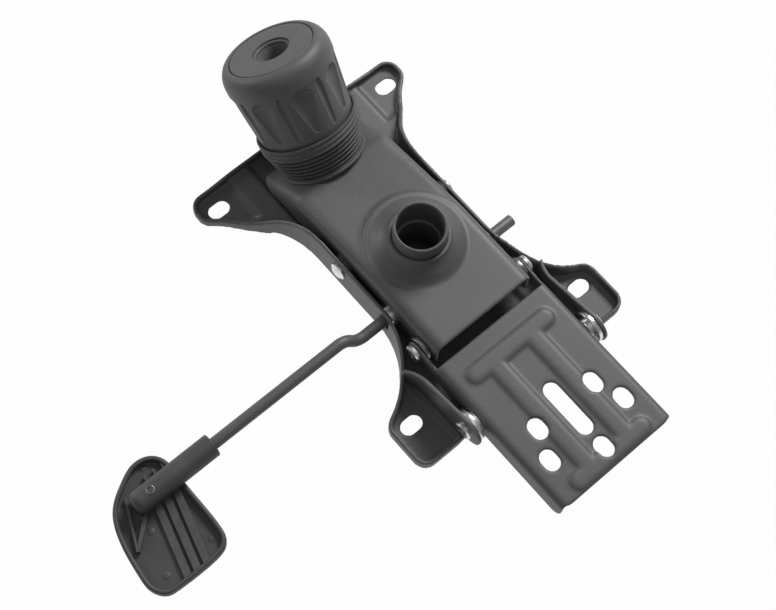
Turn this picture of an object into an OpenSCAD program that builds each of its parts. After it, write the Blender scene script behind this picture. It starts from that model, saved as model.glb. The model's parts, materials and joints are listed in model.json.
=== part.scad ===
// Tilt mechanism for an office chair, lying as on a bench with its seat side down.
// Origin: gas lift axis at the seat mounting plane. +Z leaves the underside of the chair,
// +Y points to the back of the chair and +X to the lever.

/* [Seat plate] */
// Distance between the seat bolt slots, side to side
seat_slot_dx = 150; // [146:1:156]
// Distance between the seat bolt slots, front to back
seat_slot_dy = 200; // [196:1:206]
// From the gas lift axis forward to the front slots
front_slot_y = 117.5; // [116:0.5:121]
// Width of a seat bolt slot
seat_slot_w = 9; // [7:0.5:10]
// End-to-end length of a seat bolt slot
seat_slot_l = 15; // [12:0.5:16]
// Sheet thickness of the seat plate
plate_t = 2.5; // [2:0.1:2.8]
// From a slot centre out to the side edge of its ear
ear_side = 15.5; // [14:0.5:18]
// From the front slots to the front edge
ear_front = 15; // [14:0.5:18]
// From the rear slots to the rear edge of the ears
ear_rear = 30; // [27:1:32]
// Corner radius of the ears
ear_corner_r = 10; // [7:0.5:11]
// Room at each side between the housing and the plate's flange
flange_space = 3.5; // [2.5:0.1:5]
// Radius of the hollow side in front of the waist
waist_front_r = 75; // [68:1:80]
// Radius of the hollow side behind the waist
waist_rear_r = 60; // [55:1:62]
// Height of the turned-up flange at the ears
flange_low = 10; // [8:0.5:12]
// Height of the turned-up flange at the waist
flange_high = 33; // [32:0.5:35]
// Height of the raised bands between the ears and the middle
band_lift = 3; // [1.5:0.25:3.25]

/* [Housing] */
// Half width of the housing
housing_half = 41; // [38:0.5:44]
// Sheet thickness of the housing
housing_t = 2.5; // [2:0.1:3]
// Height of the flat face of the housing
housing_z = 45; // [43:0.5:48]
// From the gas lift axis back to the rear edge of the housing
housing_rear = 65; // [63:0.5:66]
// Bend radius of the long edges of the housing
housing_bend_r = 7; // [5:0.5:8]
// Radius of the round platform where the flat face stands out over the slope
platform_r = 36; // [34:0.5:37]

/* [Gas lift socket] */
// Radius of the socket bore, which takes the gas lift's tapered end
socket_bore_r = 14; // [13.5:0.1:14.3]
// Radius of the wide mouth of the socket
socket_mouth_r = 15.8; // [15.2:0.1:16.6]
// Wall of the socket tube
socket_wall = 2.2; // [1.8:0.1:2.8]
// Height of the socket rim
socket_rim_z = 69; // [67:0.5:74]
// Depth of the wide mouth below the rim
socket_mouth_depth = 24.5; // [20:0.5:26]
// Height of the lower end of the socket bore
socket_low_z = 17; // [16:0.5:24]

/* [Pivots] */
// Radius of the main axle between the seat plate and the housing
axle_r = 5; // [4:0.25:6]
// From the gas lift axis forward to the main axle
axle_y = 24; // [23:0.5:28]
// Height of the main axle
axle_z = 24; // [22.5:0.5:24.5]
// Radius of the pivot bolts
pivot_r = 4; // [3:0.25:4.5]
// From the gas lift axis back to the front pivot of the back bracket
front_pivot_y = 52.5; // [51:0.5:54]
// Height of the front pivot of the back bracket
front_pivot_z = 28.5; // [28:0.25:30]
// From the gas lift axis back to the rear pivot of the back bracket
rear_pivot_y = 111.5; // [108:0.5:114]
// Height of the rear pivot of the back bracket
rear_pivot_z = 26; // [25:0.25:27]

/* [Back bracket] */
// Room at each side between the housing and the back bracket
bracket_space = 4; // [3:0.1:5]
// Sheet thickness of the back bracket
bracket_t = 2.5; // [2:0.1:3]
// Height of the flat face of the back bracket
bracket_z = 37; // [36:0.25:38]
// From the gas lift axis back to the front edge of the bracket's face
bracket_front = 71.5; // [70:0.5:74]
// From the gas lift axis back to the rear edge of the bracket
bracket_rear = 192; // [187:1:200]
// Depth of the side flanges of the bracket
bracket_depth = 21; // [19:0.5:22]
// Radius of the rear corners of the bracket
bracket_corner_r = 8; // [4:0.5:12]
// Height of the pressed ribs on the bracket
rib_h = 2; // [1:0.25:3]
// Gap between the bracket and the rear lugs, which the spacers fill
lug_gap = 6.5; // [6:0.1:7]
// Sheet thickness of the rear lugs
lug_t = 2.5; // [2:0.1:3.5]

/* [Tension knob] */
// Lean of the knob's axis to the front
knob_tilt = 37; // [35:0.5:38]
// From the gas lift axis forward to the foot of the knob's axis
knob_foot_y = 97; // [96:0.5:98]
// Height of the foot of the knob's axis
knob_foot_z = 20.5; // [20.25:0.25:21.5]
// Radius of the tension bolt
bolt_r = 4.5; // [4:0.25:5]
// Length from the foot to the top face of the knob
knob_top = 88.5; // [85:0.5:92]
// Largest radius of the knob, just under its shoulder
knob_r = 38; // [36:0.5:40]
// Radius of the knob at its lower rim
knob_low_r = 33.5; // [32:0.5:34]
// Number of wide scoops round the knob, with a narrow flute between each two
knob_scoops = 8; // [6:1:9]
// Radius of the cap in the knob's top face
cap_r = 29.4; // [26:0.2:30]
// Radius of the hole in the cap
cap_hole_r = 11.5; // [9.5:0.5:13]
// Length of the rubber bellows
bellows_len = 31; // [30:0.5:33]
// Number of ribs on the bellows
bellows_ribs = 6; // [4:1:7]
// Wall of the bellows
bellows_wall = 1.8; // [1.4:0.1:2.2]
// Radius of the spring wire
spring_wire_r = 3; // [2:0.1:3.2]
// Radius of the spring at the middle of its wire
spring_r = 16; // [15:0.5:17]
// Number of curls in the spring
spring_curls = 5.5; // [4:0.5:6]

/* [Lever] */
// Radius of the lever rod
rod_r = 4; // [3.5:0.1:4.2]
// From the gas lift axis back to the lever rod
rod_y = 21.5; // [21.25:0.25:23]
// Height of the inner stretch of the lever rod
rod_z = 23; // [22.5:0.25:24]
// Rise of the rod at its crank
crank_rise = 9; // [6:0.5:12]
// Forward step of the rod at its crank
crank_step = 3.5; // [2:0.5:5]
// Distance from the middle to the start of the crank
crank_x = 70; // [66:0.5:73]
// Distance from the middle to the mouth of the handle's sleeve
sleeve_x = 186; // [180:1:192]
// Length of the sleeve
sleeve_len = 62; // [58:1:66]
// Outer radius of the sleeve
sleeve_r = 8; // [7:0.25:9]
// Thickness of the paddle's floor
paddle_t = 2.5; // [2:0.25:3.5]
// Height of the paddle's rim over its floor
paddle_rim_h = 4.5; // [3:0.25:6]
// Inward stroke that locks the tilt
lock_stroke = 8; // [6:0.5:8]

/* [Hidden] */
$fn = 48;

steel = [0.24, 0.24, 0.25];
black = [0.13, 0.13, 0.14];
rubber = [0.17, 0.17, 0.18];
zinc = [0.72, 0.72, 0.70];

// Clearances
run_gap = 0.05;
seat_gap = 0.02;
side_gap = 0.3;
link_gap = 0.9;
far = 400;

// Pivot hardware
head_t = 3.5;
rivet_t = 3;
rivet_head_r = pivot_r + 2.6;
pivot_head_r = pivot_r + 1.5;
front_spacer_r = 9;
rear_spacer_r = 12;
bush_wall = 2;
bush_flange = 4;
ear_round_r = 7.5;
lug_round_r = 13;

// Seat plate outline
ear_half = seat_slot_dx / 2 + ear_side;
front_y = -front_slot_y - ear_front;
rear_slot_y = seat_slot_dy - front_slot_y;
rear_y = rear_slot_y + ear_rear;
wall_in = housing_half + flange_space;
waist_half = wall_in + plate_t;
bracket_half = housing_half + bracket_space + bracket_t;
lug_in = bracket_half + lug_gap;
recess_half = bracket_half - 12;
recess_y = bracket_front + 4.5;
lug_front = front_pivot_y + 6.5;
arc_steps = 10;
bend_steps = 8;
ear_straight = 2.8;
collar_room = 1.2;
collar_out = bracket_half + side_gap + rivet_t + collar_room;
tip_x = ear_half - ear_corner_r;
front_tip = [tip_x, front_y + ear_corner_r + ear_straight];
front_mid_x = waist_half + waist_front_r;
rear_mid_x = waist_half + waist_rear_r;
front_mid = [front_mid_x, front_tip.y + drop(waist_front_r + ear_corner_r, front_mid_x - tip_x)];
collar_y = front_pivot_y - rivet_head_r;
rear_mid = [rear_mid_x, collar_y - drop(waist_rear_r + plate_t, rear_mid_x - collar_out)];
rear_tip = [tip_x, rear_mid.y + drop(waist_rear_r + ear_corner_r, rear_mid_x - tip_x)];
band_in = housing_half - 3;
band_ramp = 3.5;
band_out = lug_in + lug_t + band_ramp;

// Rise of the flange from the ears to the waist, as places along the plate
rise_front = [-118, -45];
rise_rear = [82, 28];
rise_steps = 12;

// Housing profile
slope_start = -4;
slope_end = [-75, 35];
slope_lean = atan2(housing_z - slope_end.y, slope_start - slope_end.x);
housing_foot = plate_t + band_lift + 0.8;
flare_r = 32;
flare_top = socket_mouth_r + socket_wall + 2.8;
socket_r = socket_mouth_r + socket_wall;
socket_low_r = socket_bore_r + 2.2;
socket_step_z = socket_rim_z - socket_mouth_depth;

// Lever
rod_slot_drop = 6.8;
rod_slot_gap = 0.6;
outer_y = rod_y - crank_step;
outer_z = rod_z + crank_rise;
crank_len = 8;
rod_end_x = -66;
sleeve_end = sleeve_x + sleeve_len;
paddle_z = outer_z - sleeve_r - paddle_t - 1.5;
rivet_x = sleeve_end - 14;
rivet_r = 2.5;

// Tension knob, along its axis from the foot
cup_t = 2.5;
knob_low = bellows_len - 1.5;
washer_t = 3;
washer_rim = 2;
washer_room = 25.5;
washer_top = knob_low + washer_room;
knob_cavity_r = 24;
shoulder_r = 5.5;
shoulder_h = 10;
seam_low = 16;
seam_step = 0.4;
cap_t = 3.5;
cap_gap = 0.7;
nut_t = 12;
nut_r = 9.5;
bar_r = 4.5;
bar_low = -14;
bar_len = 26;
bolt_neck_r = bolt_r - 1.5;
anchor_t = 2.5;
anchor_slide = 4.5;
anchor_len = 13;

// Points on an arc round c
function arc(c, r, a0, a1, n = arc_steps) =
    [for (i = [0:n]) c + r * [cos(a0 + (a1 - a0) * i / n), sin(a0 + (a1 - a0) * i / n)]];

// Other side of a right triangle
function drop(long, side) = sqrt(long * long - side * side);

function turn(a, b) = atan2(b.y - a.y, b.x - a.x);

// Right half of the plate's outline, moved inwards by d
function half_outline(d) =
    let (ft = turn(front_tip, front_mid), rt = turn(rear_mid, rear_tip))
    concat(
        arc([ear_half - ear_corner_r, front_y + ear_corner_r], ear_corner_r - d, -90, 0),
        arc(front_tip, ear_corner_r - d, 0, ft),
        arc(front_mid, waist_front_r + d, ft + 180, 180),
        arc(rear_mid, waist_rear_r + d, 180, rt),
        arc(rear_tip, ear_corner_r - d, rt - 180, 0),
        arc([ear_half - ear_corner_r, rear_y - ear_corner_r], ear_corner_r - d, 0, 90),
        [[recess_half + d, rear_y - d], [recess_half + d, recess_y - d]]);

function mirrored(p) = [for (i = [len(p) - 1:-1:0]) [-p[i].x, p[i].y]];

function plate_outline(d) = concat(half_outline(d), mirrored(half_outline(d)));

function eased(a, b, t) = a + (b - a) * (1 - cos(180 * t)) / 2;

function flange_rise(span) =
    [for (i = [0:rise_steps])
        [span[0] + (span[1] - span[0]) * i / rise_steps, eased(flange_low, flange_high, i / rise_steps)]];

function reversed(p) = [for (i = [len(p) - 1:-1:0]) p[i]];

// Bar of a YZ outline, from x0 to x1
module across(x0, x1) {
    translate([x0, 0, 0]) rotate([90, 0, 90]) linear_extrude(x1 - x0) children();
}

// Bar of an XZ outline, from y0 to y1
module lengthwise(y0, y1) {
    translate([0, y1, 0]) rotate([90, 0, 0]) linear_extrude(y1 - y0) children();
}

// Round bar along X
module bar_x(x0, x1, y, z, r) {
    translate([x0, y, z]) rotate([0, 90, 0]) cylinder(h = x1 - x0, r = r);
}

module ring_x(x0, x1, y, z, r, hole) {
    difference() {
        bar_x(x0, x1, y, z, r);
        bar_x(x0 - 1, x1 + 1, y, z, hole);
    }
}

module both_sides() {
    children();
    mirror([1, 0, 0]) children();
}

// Puts a child in the knob's own frame, with its axis up
module on_knob_axis() {
    translate([0, -knob_foot_y, knob_foot_z]) rotate([knob_tilt, 0, 0]) children();
}

// Long round-edged tunnel whose top face passes through [y, z] and falls to the front
module tunnel(half, r, y, z, lean) {
    bend = arc([half - r, -r], r, 0, 90, bend_steps);
    translate([0, y, z]) rotate([lean, 0, 0]) lengthwise(-far, far)
        polygon(concat([[half, -far]], bend, mirrored(bend), [[-half, -far]]));
}

// Seat plate

module plate_floor() {
    w = ear_half + 1;
    low = [[-w, 0], [-band_out, 0], [band_ramp - band_out, band_lift], [-band_in - band_ramp, band_lift],
        [-band_in, 0], [band_in, 0], [band_in + band_ramp, band_lift], [band_out - band_ramp, band_lift],
        [band_out, 0], [w, 0]];
    top = [for (p = reversed(low)) [p.x, p.y + plate_t]];
    intersection() {
        linear_extrude(far) polygon(plate_outline(0));
        lengthwise(front_y - 1, rear_y + 1) polygon(concat(low, top));
    }
}

// Hollow under the raised bands
module under_bands() {
    both_sides() lengthwise(front_y - 1, rear_y + 1)
        polygon([[band_in, -1], [band_in, 0], [band_in + band_ramp, band_lift],
            [band_out - band_ramp, band_lift], [band_out, 0], [band_out, -1]]);
}

module plate_walls() {
    top = concat([[front_y - 1, flange_low]], flange_rise(rise_front), reversed(flange_rise(rise_rear)),
        [[rear_y + 1, flange_low]]);
    difference() {
        intersection() {
            linear_extrude(far) difference() {
                polygon(plate_outline(0));
                polygon(plate_outline(plate_t));
            }
            across(-far, far) polygon(concat([[front_y - 1, 0]], top, [[rear_y + 1, 0]]));
        }
        translate([-lug_in - lug_t, recess_y - plate_t - 1, -1]) cube([2 * (lug_in + lug_t), far, far]);
        under_bands();
    }
}

module seat_slots() {
    reach = (seat_slot_l - seat_slot_w) / 2;
    for (x = [-seat_slot_dx / 2, seat_slot_dx / 2], y = [-front_slot_y, rear_slot_y])
        translate([x, y, -1]) {
            for (end = [-reach, reach]) translate([end, 0, 0]) cylinder(h = plate_t + 2, d = seat_slot_w);
            translate([-reach, -seat_slot_w / 2, 0]) cube([2 * reach, seat_slot_w, plate_t + 2]);
        }
}

// Upright slot in a side wall, in which a round bar falls as the housing tilts
module wall_slot(x0, x1, slot_r) {
    bar_x(x0, x1, rod_y, rod_z, slot_r);
    bar_x(x0, x1, rod_y, rod_z - rod_slot_drop, slot_r);
    translate([x0, rod_y - slot_r, rod_z - rod_slot_drop]) cube([x1 - x0, 2 * slot_r, rod_slot_drop]);
}

module seat_plate() {
    color(steel) difference() {
        union() {
            plate_floor();
            plate_walls();
        }
        seat_slots();
        bar_x(-far, far, -axle_y, axle_z, axle_r + seat_gap);
        wall_slot(wall_in - 1, waist_half + 3, rod_r + rod_slot_gap);
        wall_slot(-waist_half - 3, 1 - wall_in, rod_r + rod_slot_gap);
    }
}

module rear_lug() {
    foot = plate_t + band_lift;
    middle = [rear_pivot_y, rear_pivot_z];
    difference() {
        across(lug_in, lug_in + lug_t) polygon(concat(
            [[lug_front, foot], [lug_front + 3, rear_pivot_z + 1]],
            arc(middle, lug_round_r, 115, -75, 16), [[rear_y - 3, foot]]));
        bar_x(lug_in - 1, lug_in + lug_t + 1, rear_pivot_y, rear_pivot_z, pivot_r + seat_gap);
    }
}

module right_rear_lug() {
    color(steel) rear_lug();
}

module left_rear_lug() {
    color(steel) mirror([1, 0, 0]) rear_lug();
}

module main_axle() {
    color(zinc) bar_x(-waist_half, waist_half, -axle_y, axle_z, axle_r);
}

// Round rivet heads that close the axle outside the side walls
module axle_heads() {
    r = axle_r + 1.2;
    color(zinc) both_sides() {
        bar_x(waist_half, waist_half + 1.5, -axle_y, axle_z, r);
        translate([waist_half + 1.5, -axle_y, axle_z]) rotate([0, 90, 0]) cylinder(h = 1.7, r1 = r, r2 = r - 2.5);
    }
}

// Pivot bolt from x0 to x1 along X, with a head at x0 and a cross slot in its outer end
module pivot_bolt(x0, x1, y, z) {
    slot_w = 1.1;
    slot_depth = 0.9;
    slot_l = 1.5 * pivot_r;
    difference() {
        union() {
            bar_x(x0 - head_t, x0, y, z, pivot_head_r);
            bar_x(x0 - 1, x1, y, z, pivot_r);
        }
        for (turn = [20, 110]) translate([x1 - slot_depth, y, z]) rotate([turn, 0, 0])
            translate([0, -slot_l / 2, -slot_w / 2]) cube([2 * slot_depth, slot_l, slot_w]);
    }
}

module rear_pivot_bolts() {
    color(zinc) both_sides()
        pivot_bolt(bracket_half - bracket_t - side_gap, lug_in + lug_t + rivet_t, rear_pivot_y, rear_pivot_z);
}

module rear_pivot_spacers() {
    color(zinc) both_sides()
        ring_x(bracket_half + side_gap, lug_in, rear_pivot_y, rear_pivot_z, rear_spacer_r, pivot_r + seat_gap);
}

// Round collar riveted on the end of a pivot bolt
module rivet_collar(x0, y, z) {
    bevel = 1;
    difference() {
        union() {
            bar_x(x0, x0 + rivet_t - bevel, y, z, rivet_head_r);
            translate([x0 + rivet_t - bevel, y, z]) rotate([0, 90, 0])
                cylinder(h = bevel, r1 = rivet_head_r, r2 = rivet_head_r - bevel);
        }
        bar_x(x0 - 1, x0 + rivet_t + 1, y, z, pivot_r + seat_gap);
    }
}

module rear_pivot_collars() {
    color(zinc) both_sides() rivet_collar(lug_in + lug_t, rear_pivot_y, rear_pivot_z);
}

// Bridge on the plate that holds the cross bar of the tension bolt down
module spring_anchor() {
    low = bar_low + bar_r + side_gap;
    cheek = bar_len / 2 + 0.5;
    slot_r = bolt_r + 0.7;
    color(steel) difference() {
        union() {
            on_knob_axis() translate([-cheek - anchor_t, -anchor_len, low])
                cube([2 * (cheek + anchor_t), 2 * anchor_len, anchor_t]);
            both_sides() intersection() {
                translate([cheek, -knob_foot_y - 6, plate_t]) cube([anchor_t, 22, 40]);
                on_knob_axis() translate([-far, -anchor_len, low + anchor_t - far]) cube([2 * far, far, far]);
            }
        }
        on_knob_axis() {
            translate([0, -1, low - 1]) cylinder(h = anchor_t + 2, r = slot_r);
            translate([0, anchor_slide, low - 1]) cylinder(h = anchor_t + 2, r = slot_r);
            translate([-slot_r, -1, low - 1]) cube([2 * slot_r, anchor_slide + 1, anchor_t + 2]);
        }
        translate([-far, -far, plate_t - far]) cube([2 * far, 2 * far, far]);
    }
}

// Housing

// Solid shape of the housing, moved inwards by d; children stand out over its slope
module housing_block(d) {
    intersection() {
        tunnel(housing_half - d, housing_bend_r - d, 0, housing_z - d, 0);
        union() {
            tunnel(housing_half - d, housing_bend_r - d, slope_start, housing_z - d / cos(slope_lean), slope_lean);
            children();
        }
        tunnel(housing_half - d, housing_bend_r - d, -knob_foot_y, knob_foot_z - d / cos(knob_tilt), knob_tilt);
    }
}

// Round platform over the slope
module housing_platform() {
    depth = 15;
    flank = 0.7;
    translate([0, 0, housing_z - depth])
        cylinder(h = depth + 1, r1 = platform_r + flank * depth, r2 = platform_r - flank);
}

// Flared neck round the socket
module housing_neck() {
    flare = flare_r - flare_top;
    rotate_extrude() polygon(concat([[0, housing_z - 1], [flare_r + 0.5, housing_z - 1], [flare_r + 0.5, housing_z - 0.2]],
        reversed(arc([flare_r, housing_z + flare], flare, 180, 270)), [[0, housing_z + flare]]));
}

// Side view that the housing is cut to
module housing_side() {
    polygon([[-far, housing_foot], [-70, housing_foot], [-axle_y, axle_z - axle_r - 8],
        [rod_y, rod_z - 9], [housing_rear, front_pivot_z - 6], [housing_rear, far], [-far, far]]);
}

module housing() {
    color(steel) difference() {
        union() {
            difference() {
                intersection() {
                    housing_block(0) housing_platform();
                    across(-far, far) housing_side();
                }
                housing_block(housing_t);
            }
            housing_neck();
        }
        translate([0, 0, -1]) cylinder(h = far, r = socket_r + run_gap);
        on_knob_axis() translate([0, 0, -20]) cylinder(h = 30, r = bolt_r + 0.6);
        bar_x(-far, far, -axle_y, axle_z, axle_r + bush_wall + seat_gap);
        bar_x(-far, far, rod_y, rod_z, rod_r + bush_wall + seat_gap);
        bar_x(-far, far, front_pivot_y, front_pivot_z, pivot_r + seat_gap);
    }
}

module socket_tube() {
    color(steel) rotate_extrude() polygon([
        [socket_bore_r, socket_low_z], [socket_low_r, socket_low_z], [socket_low_r, socket_step_z - 3],
        [socket_r, socket_step_z], [socket_r, socket_rim_z - 0.8], [socket_r - 0.8, socket_rim_z],
        [socket_mouth_r + 0.8, socket_rim_z], [socket_mouth_r, socket_rim_z - 0.8],
        [socket_mouth_r, socket_step_z], [socket_bore_r, socket_step_z]]);
}

// Plate across the inside of the housing that steadies the lower end of the socket
module socket_bridge() {
    half = housing_half - housing_t - seat_gap;
    front = axle_r + bush_wall + 0.5 - axle_y;
    color(steel) difference() {
        translate([-half, front, socket_low_z]) cube([2 * half, rod_y - rod_r - bush_wall - 2.5 - front, 3]);
        translate([0, 0, -1]) cylinder(h = far, r = socket_low_r + seat_gap);
    }
}

// Flanged bush through a side wall of the housing
module wall_bush(y, z, r) {
    wall = housing_half - housing_t;
    difference() {
        union() {
            bar_x(wall - 0.5, housing_half, y, z, r + bush_wall);
            bar_x(housing_half, wall_in - side_gap, y, z, r + bush_flange);
        }
        bar_x(wall - 2, wall_in + 1, y, z, r + run_gap);
    }
}

module axle_bushes() {
    color(black) both_sides() wall_bush(-axle_y, axle_z, axle_r);
}

module lever_bushes() {
    color(zinc) both_sides() wall_bush(rod_y, rod_z, rod_r);
}

module front_pivot_bolts() {
    color(zinc) both_sides()
        pivot_bolt(housing_half - housing_t, bracket_half + side_gap + rivet_t, front_pivot_y, front_pivot_z);
}

module front_pivot_spacers() {
    color(zinc) both_sides() ring_x(housing_half, bracket_half - bracket_t - side_gap,
        front_pivot_y, front_pivot_z, front_spacer_r, pivot_r + seat_gap);
}

module front_pivot_collars() {
    color(zinc) both_sides() rivet_collar(bracket_half + side_gap, front_pivot_y, front_pivot_z);
}

// Dished washer under the spring
module spring_seat() {
    r = spring_r + spring_wire_r;
    color(steel) on_knob_axis() rotate_extrude() polygon([[bolt_r + run_gap, 0], [r + 3, 0], [r + 3, cup_t + 1.5],
        [r + 1.5, cup_t + 1.5], [r + 1, cup_t], [bolt_r + run_gap, cup_t]]);
}

// Bellows: outer line of foot, ribs and lip, as radius and height
bellows_foot_r = knob_low_r - 4.5;
bellows_lip_in = knob_low_r + 0.7;
bellows_lip_h = 4.5;
bellows_rib_step = (bellows_len - bellows_lip_h - 3) / bellows_ribs;
bellows_rib_out = 2.2;

function bellows_line(d) = concat(
    [[bellows_foot_r - d, side_gap], [bellows_foot_r - d, 2.5]],
    [for (i = [0:bellows_ribs - 1], half = [0, 1])
        let (grow = (bellows_lip_in - bellows_foot_r - 1) * (i + 0.5) / bellows_ribs)
        [bellows_foot_r + grow - d - 1 + (half ? bellows_rib_out : 0),
            3 + bellows_rib_step * (i + (half ? 0.55 : 0.05))]],
    [[bellows_lip_in - d - 0.4, bellows_len - bellows_lip_h]]);

module bellows() {
    lip = bellows_lip_in + bellows_wall;
    color(rubber) on_knob_axis() rotate_extrude() polygon(concat(
        bellows_line(0), [[lip, bellows_len - bellows_lip_h + 0.8], [lip, bellows_len], [bellows_lip_in, bellows_len],
        [bellows_lip_in, knob_low - 0.5]], reversed(bellows_line(bellows_wall))));
}

// Spring wire: one tube along a helix
spring_low = cup_t + spring_wire_r + side_gap;
spring_high = washer_top - washer_t - spring_wire_r - side_gap;
spring_pitch = (spring_high - spring_low) / spring_curls;
spring_rings = 8 * spring_curls;
spring_sides = 6;

function spring_mid(i) = [spring_r * cos(45 * i), spring_r * sin(45 * i), spring_low + spring_pitch * i / 8];

function spring_ring(i) = [for (k = [0:spring_sides - 1]) let (a = 360 * k / spring_sides)
    spring_mid(i) + spring_wire_r * [cos(a) * cos(45 * i), cos(a) * sin(45 * i), sin(a)]];

// Least distance between wire centres one curl apart, less the wire
spring_gap = min([for (i = [0:spring_rings - 8]) norm(spring_mid(i + 8) - spring_mid(i))]) - 2 * spring_wire_r;
echo(spring_least_gap = spring_gap);

module tension_spring() {
    n = spring_sides;
    points = [for (i = [0:spring_rings], p = spring_ring(i)) p];
    walls = [for (i = [0:spring_rings - 1], k = [0:n - 1], t = [0, 1])
        let (a = i * n + k, b = i * n + (k + 1) % n) t ? [a, b + n, b] : [a, a + n, b + n]];
    ends = [for (k = [1:n - 2], t = [0, 1]) let (e = spring_rings * n) t ? [0, k, k + 1] : [e, e + k + 1, e + k]];
    color(zinc) on_knob_axis() polyhedron(points, concat(walls, ends));
}

// Back bracket

module bracket_side() {
    low = bracket_z - bracket_depth;
    polygon([[bracket_front, far], [bracket_front, low + 5], [bracket_front + 14, low], [bracket_rear - 26, low],
        [bracket_rear, bracket_z - 6], [bracket_rear, far]]);
}

module bracket_plan() {
    r = bracket_corner_r;
    translate([-far, bracket_front]) square([2 * far, bracket_rear - r - bracket_front]);
    translate([r - bracket_half, bracket_front]) square([2 * (bracket_half - r), bracket_rear - bracket_front]);
    for (s = [-1, 1]) translate([s * (bracket_half - r), bracket_rear - r]) circle(r);
}

// Front ear of the bracket, which turns on the front pivot
module bracket_ear() {
    across(bracket_half - bracket_t, bracket_half) {
        translate([front_pivot_y, front_pivot_z]) circle(ear_round_r);
        polygon([[front_pivot_y, front_pivot_z + ear_round_r], [bracket_front + 8, bracket_z - 5],
            [bracket_front + 8, bracket_z - bracket_depth + 5], [front_pivot_y, front_pivot_z - ear_round_r]]);
    }
}

// Pressed rib along a line between two places on the face, with round ends
module face_rib(p, q) {
    r = rib_r;
    run = q - p;
    intersection() {
        translate([p.x, p.y, bracket_z + rib_h - r]) {
            sphere(r);
            rotate([0, 90, atan2(run.y, run.x)]) cylinder(h = norm(run), r = r);
            translate([run.x, run.y, 0]) sphere(r);
        }
        translate([-far, -far, bracket_z - 1]) cube([2 * far, 2 * far, far]);
    }
}

// Upright oval through the face
module face_oval(x, y, w, l) {
    reach = (l - w) / 2;
    translate([x, y, bracket_z - 10]) {
        for (end = [-reach, reach]) translate([0, end, 0]) cylinder(h = 20, d = w);
        translate([-w / 2, -reach, 0]) cube([w, 2 * reach, 20]);
    }
}

rib_x = 16;
front_rib_half = 31;
rear_rib_half = 27;
rib_r = 6;
rib_front = bracket_front + 19;
rib_rear = bracket_rear - 8;
oval_w = 11;
oval_l = 15;
inner_oval = [24, bracket_front + 71];
outer_oval = [32, bracket_front + 91];
rear_oval_y = bracket_front + 106.5;
long_slot_y = bracket_front + 73.5;
long_slot_l = 42;

module back_bracket() {
    color(steel) difference() {
        union() {
            difference() {
                intersection() {
                    tunnel(bracket_half, 5, 0, bracket_z, 0);
                    across(-far, far) bracket_side();
                    linear_extrude(far) bracket_plan();
                }
                tunnel(bracket_half - bracket_t, 5 - bracket_t, 0, bracket_z - bracket_t, 0);
            }
            both_sides() bracket_ear();
            both_sides() face_rib([rib_x, rib_front], [rib_x, rib_rear]);
            face_rib([-front_rib_half, rib_front], [front_rib_half, rib_front]);
            face_rib([-rear_rib_half, rib_rear], [rear_rib_half, rib_rear]);
        }
        both_sides() {
            face_oval(inner_oval.x, inner_oval.y, oval_w, oval_l);
            face_oval(outer_oval.x, outer_oval.y, oval_w, oval_l);
        }
        face_oval(0, rear_oval_y, oval_w, oval_l);
        face_oval(0, long_slot_y, oval_w, long_slot_l);
        both_sides() {
            bar_x(bracket_half - 5, bracket_half + 1, front_pivot_y, front_pivot_z, pivot_r + run_gap);
            bar_x(bracket_half - 5, bracket_half + 1, rear_pivot_y, rear_pivot_z, pivot_r + link_gap);
        }
    }
}

// Tension bolt and knob

module tension_bolt() {
    neck_top = bar_low + bar_r + 0.5;
    color(zinc) on_knob_axis() {
        translate([0, 0, bar_low - bar_r + 0.5]) cylinder(h = 2 * bar_r + 1, r = bolt_neck_r);
        translate([0, 0, neck_top]) cylinder(h = knob_top - 14 - neck_top, r = bolt_r);
    }
}

// Round cross bar at the foot of the tension bolt
module bolt_cross_bar() {
    color(zinc) on_knob_axis() difference() {
        bar_x(-bar_len / 2, bar_len / 2, 0, bar_low, bar_r);
        translate([0, 0, bar_low - bar_r - 1]) cylinder(h = 2 * bar_r + 2, r = bolt_neck_r + seat_gap);
    }
}

module thrust_washer() {
    color(zinc) on_knob_axis() translate([0, 0, washer_top - washer_t]) difference() {
        cylinder(h = washer_t, r = spring_r + spring_wire_r + washer_rim);
        translate([0, 0, -1]) cylinder(h = washer_t + 2, r = bolt_r + run_gap);
    }
}

// Radius of the knob's side at a height
function knob_side(w) = knob_low_r + (knob_r - seam_step - knob_low_r) * (w - knob_low) / (knob_top - seam_low - knob_low);

// Tapered hollow in the knob's side with a round top: radius and depth at each end
module knob_hollow(low_w, low_r, low_depth, top_w, top_r, top_depth) {
    low = [knob_side(low_w) + low_r - low_depth, low_w];
    top = [knob_side(top_w) + top_r - top_depth, top_w];
    run = top - low;
    translate([low.x, 0, low.y]) rotate([0, atan2(run.x, run.y), 0]) rotate_extrude()
        polygon(concat([[0, 0], [low_r, 0]], arc([0, norm(run)], top_r, 0, 80, 5), [[0, norm(run) + top_r]]));
}

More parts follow.
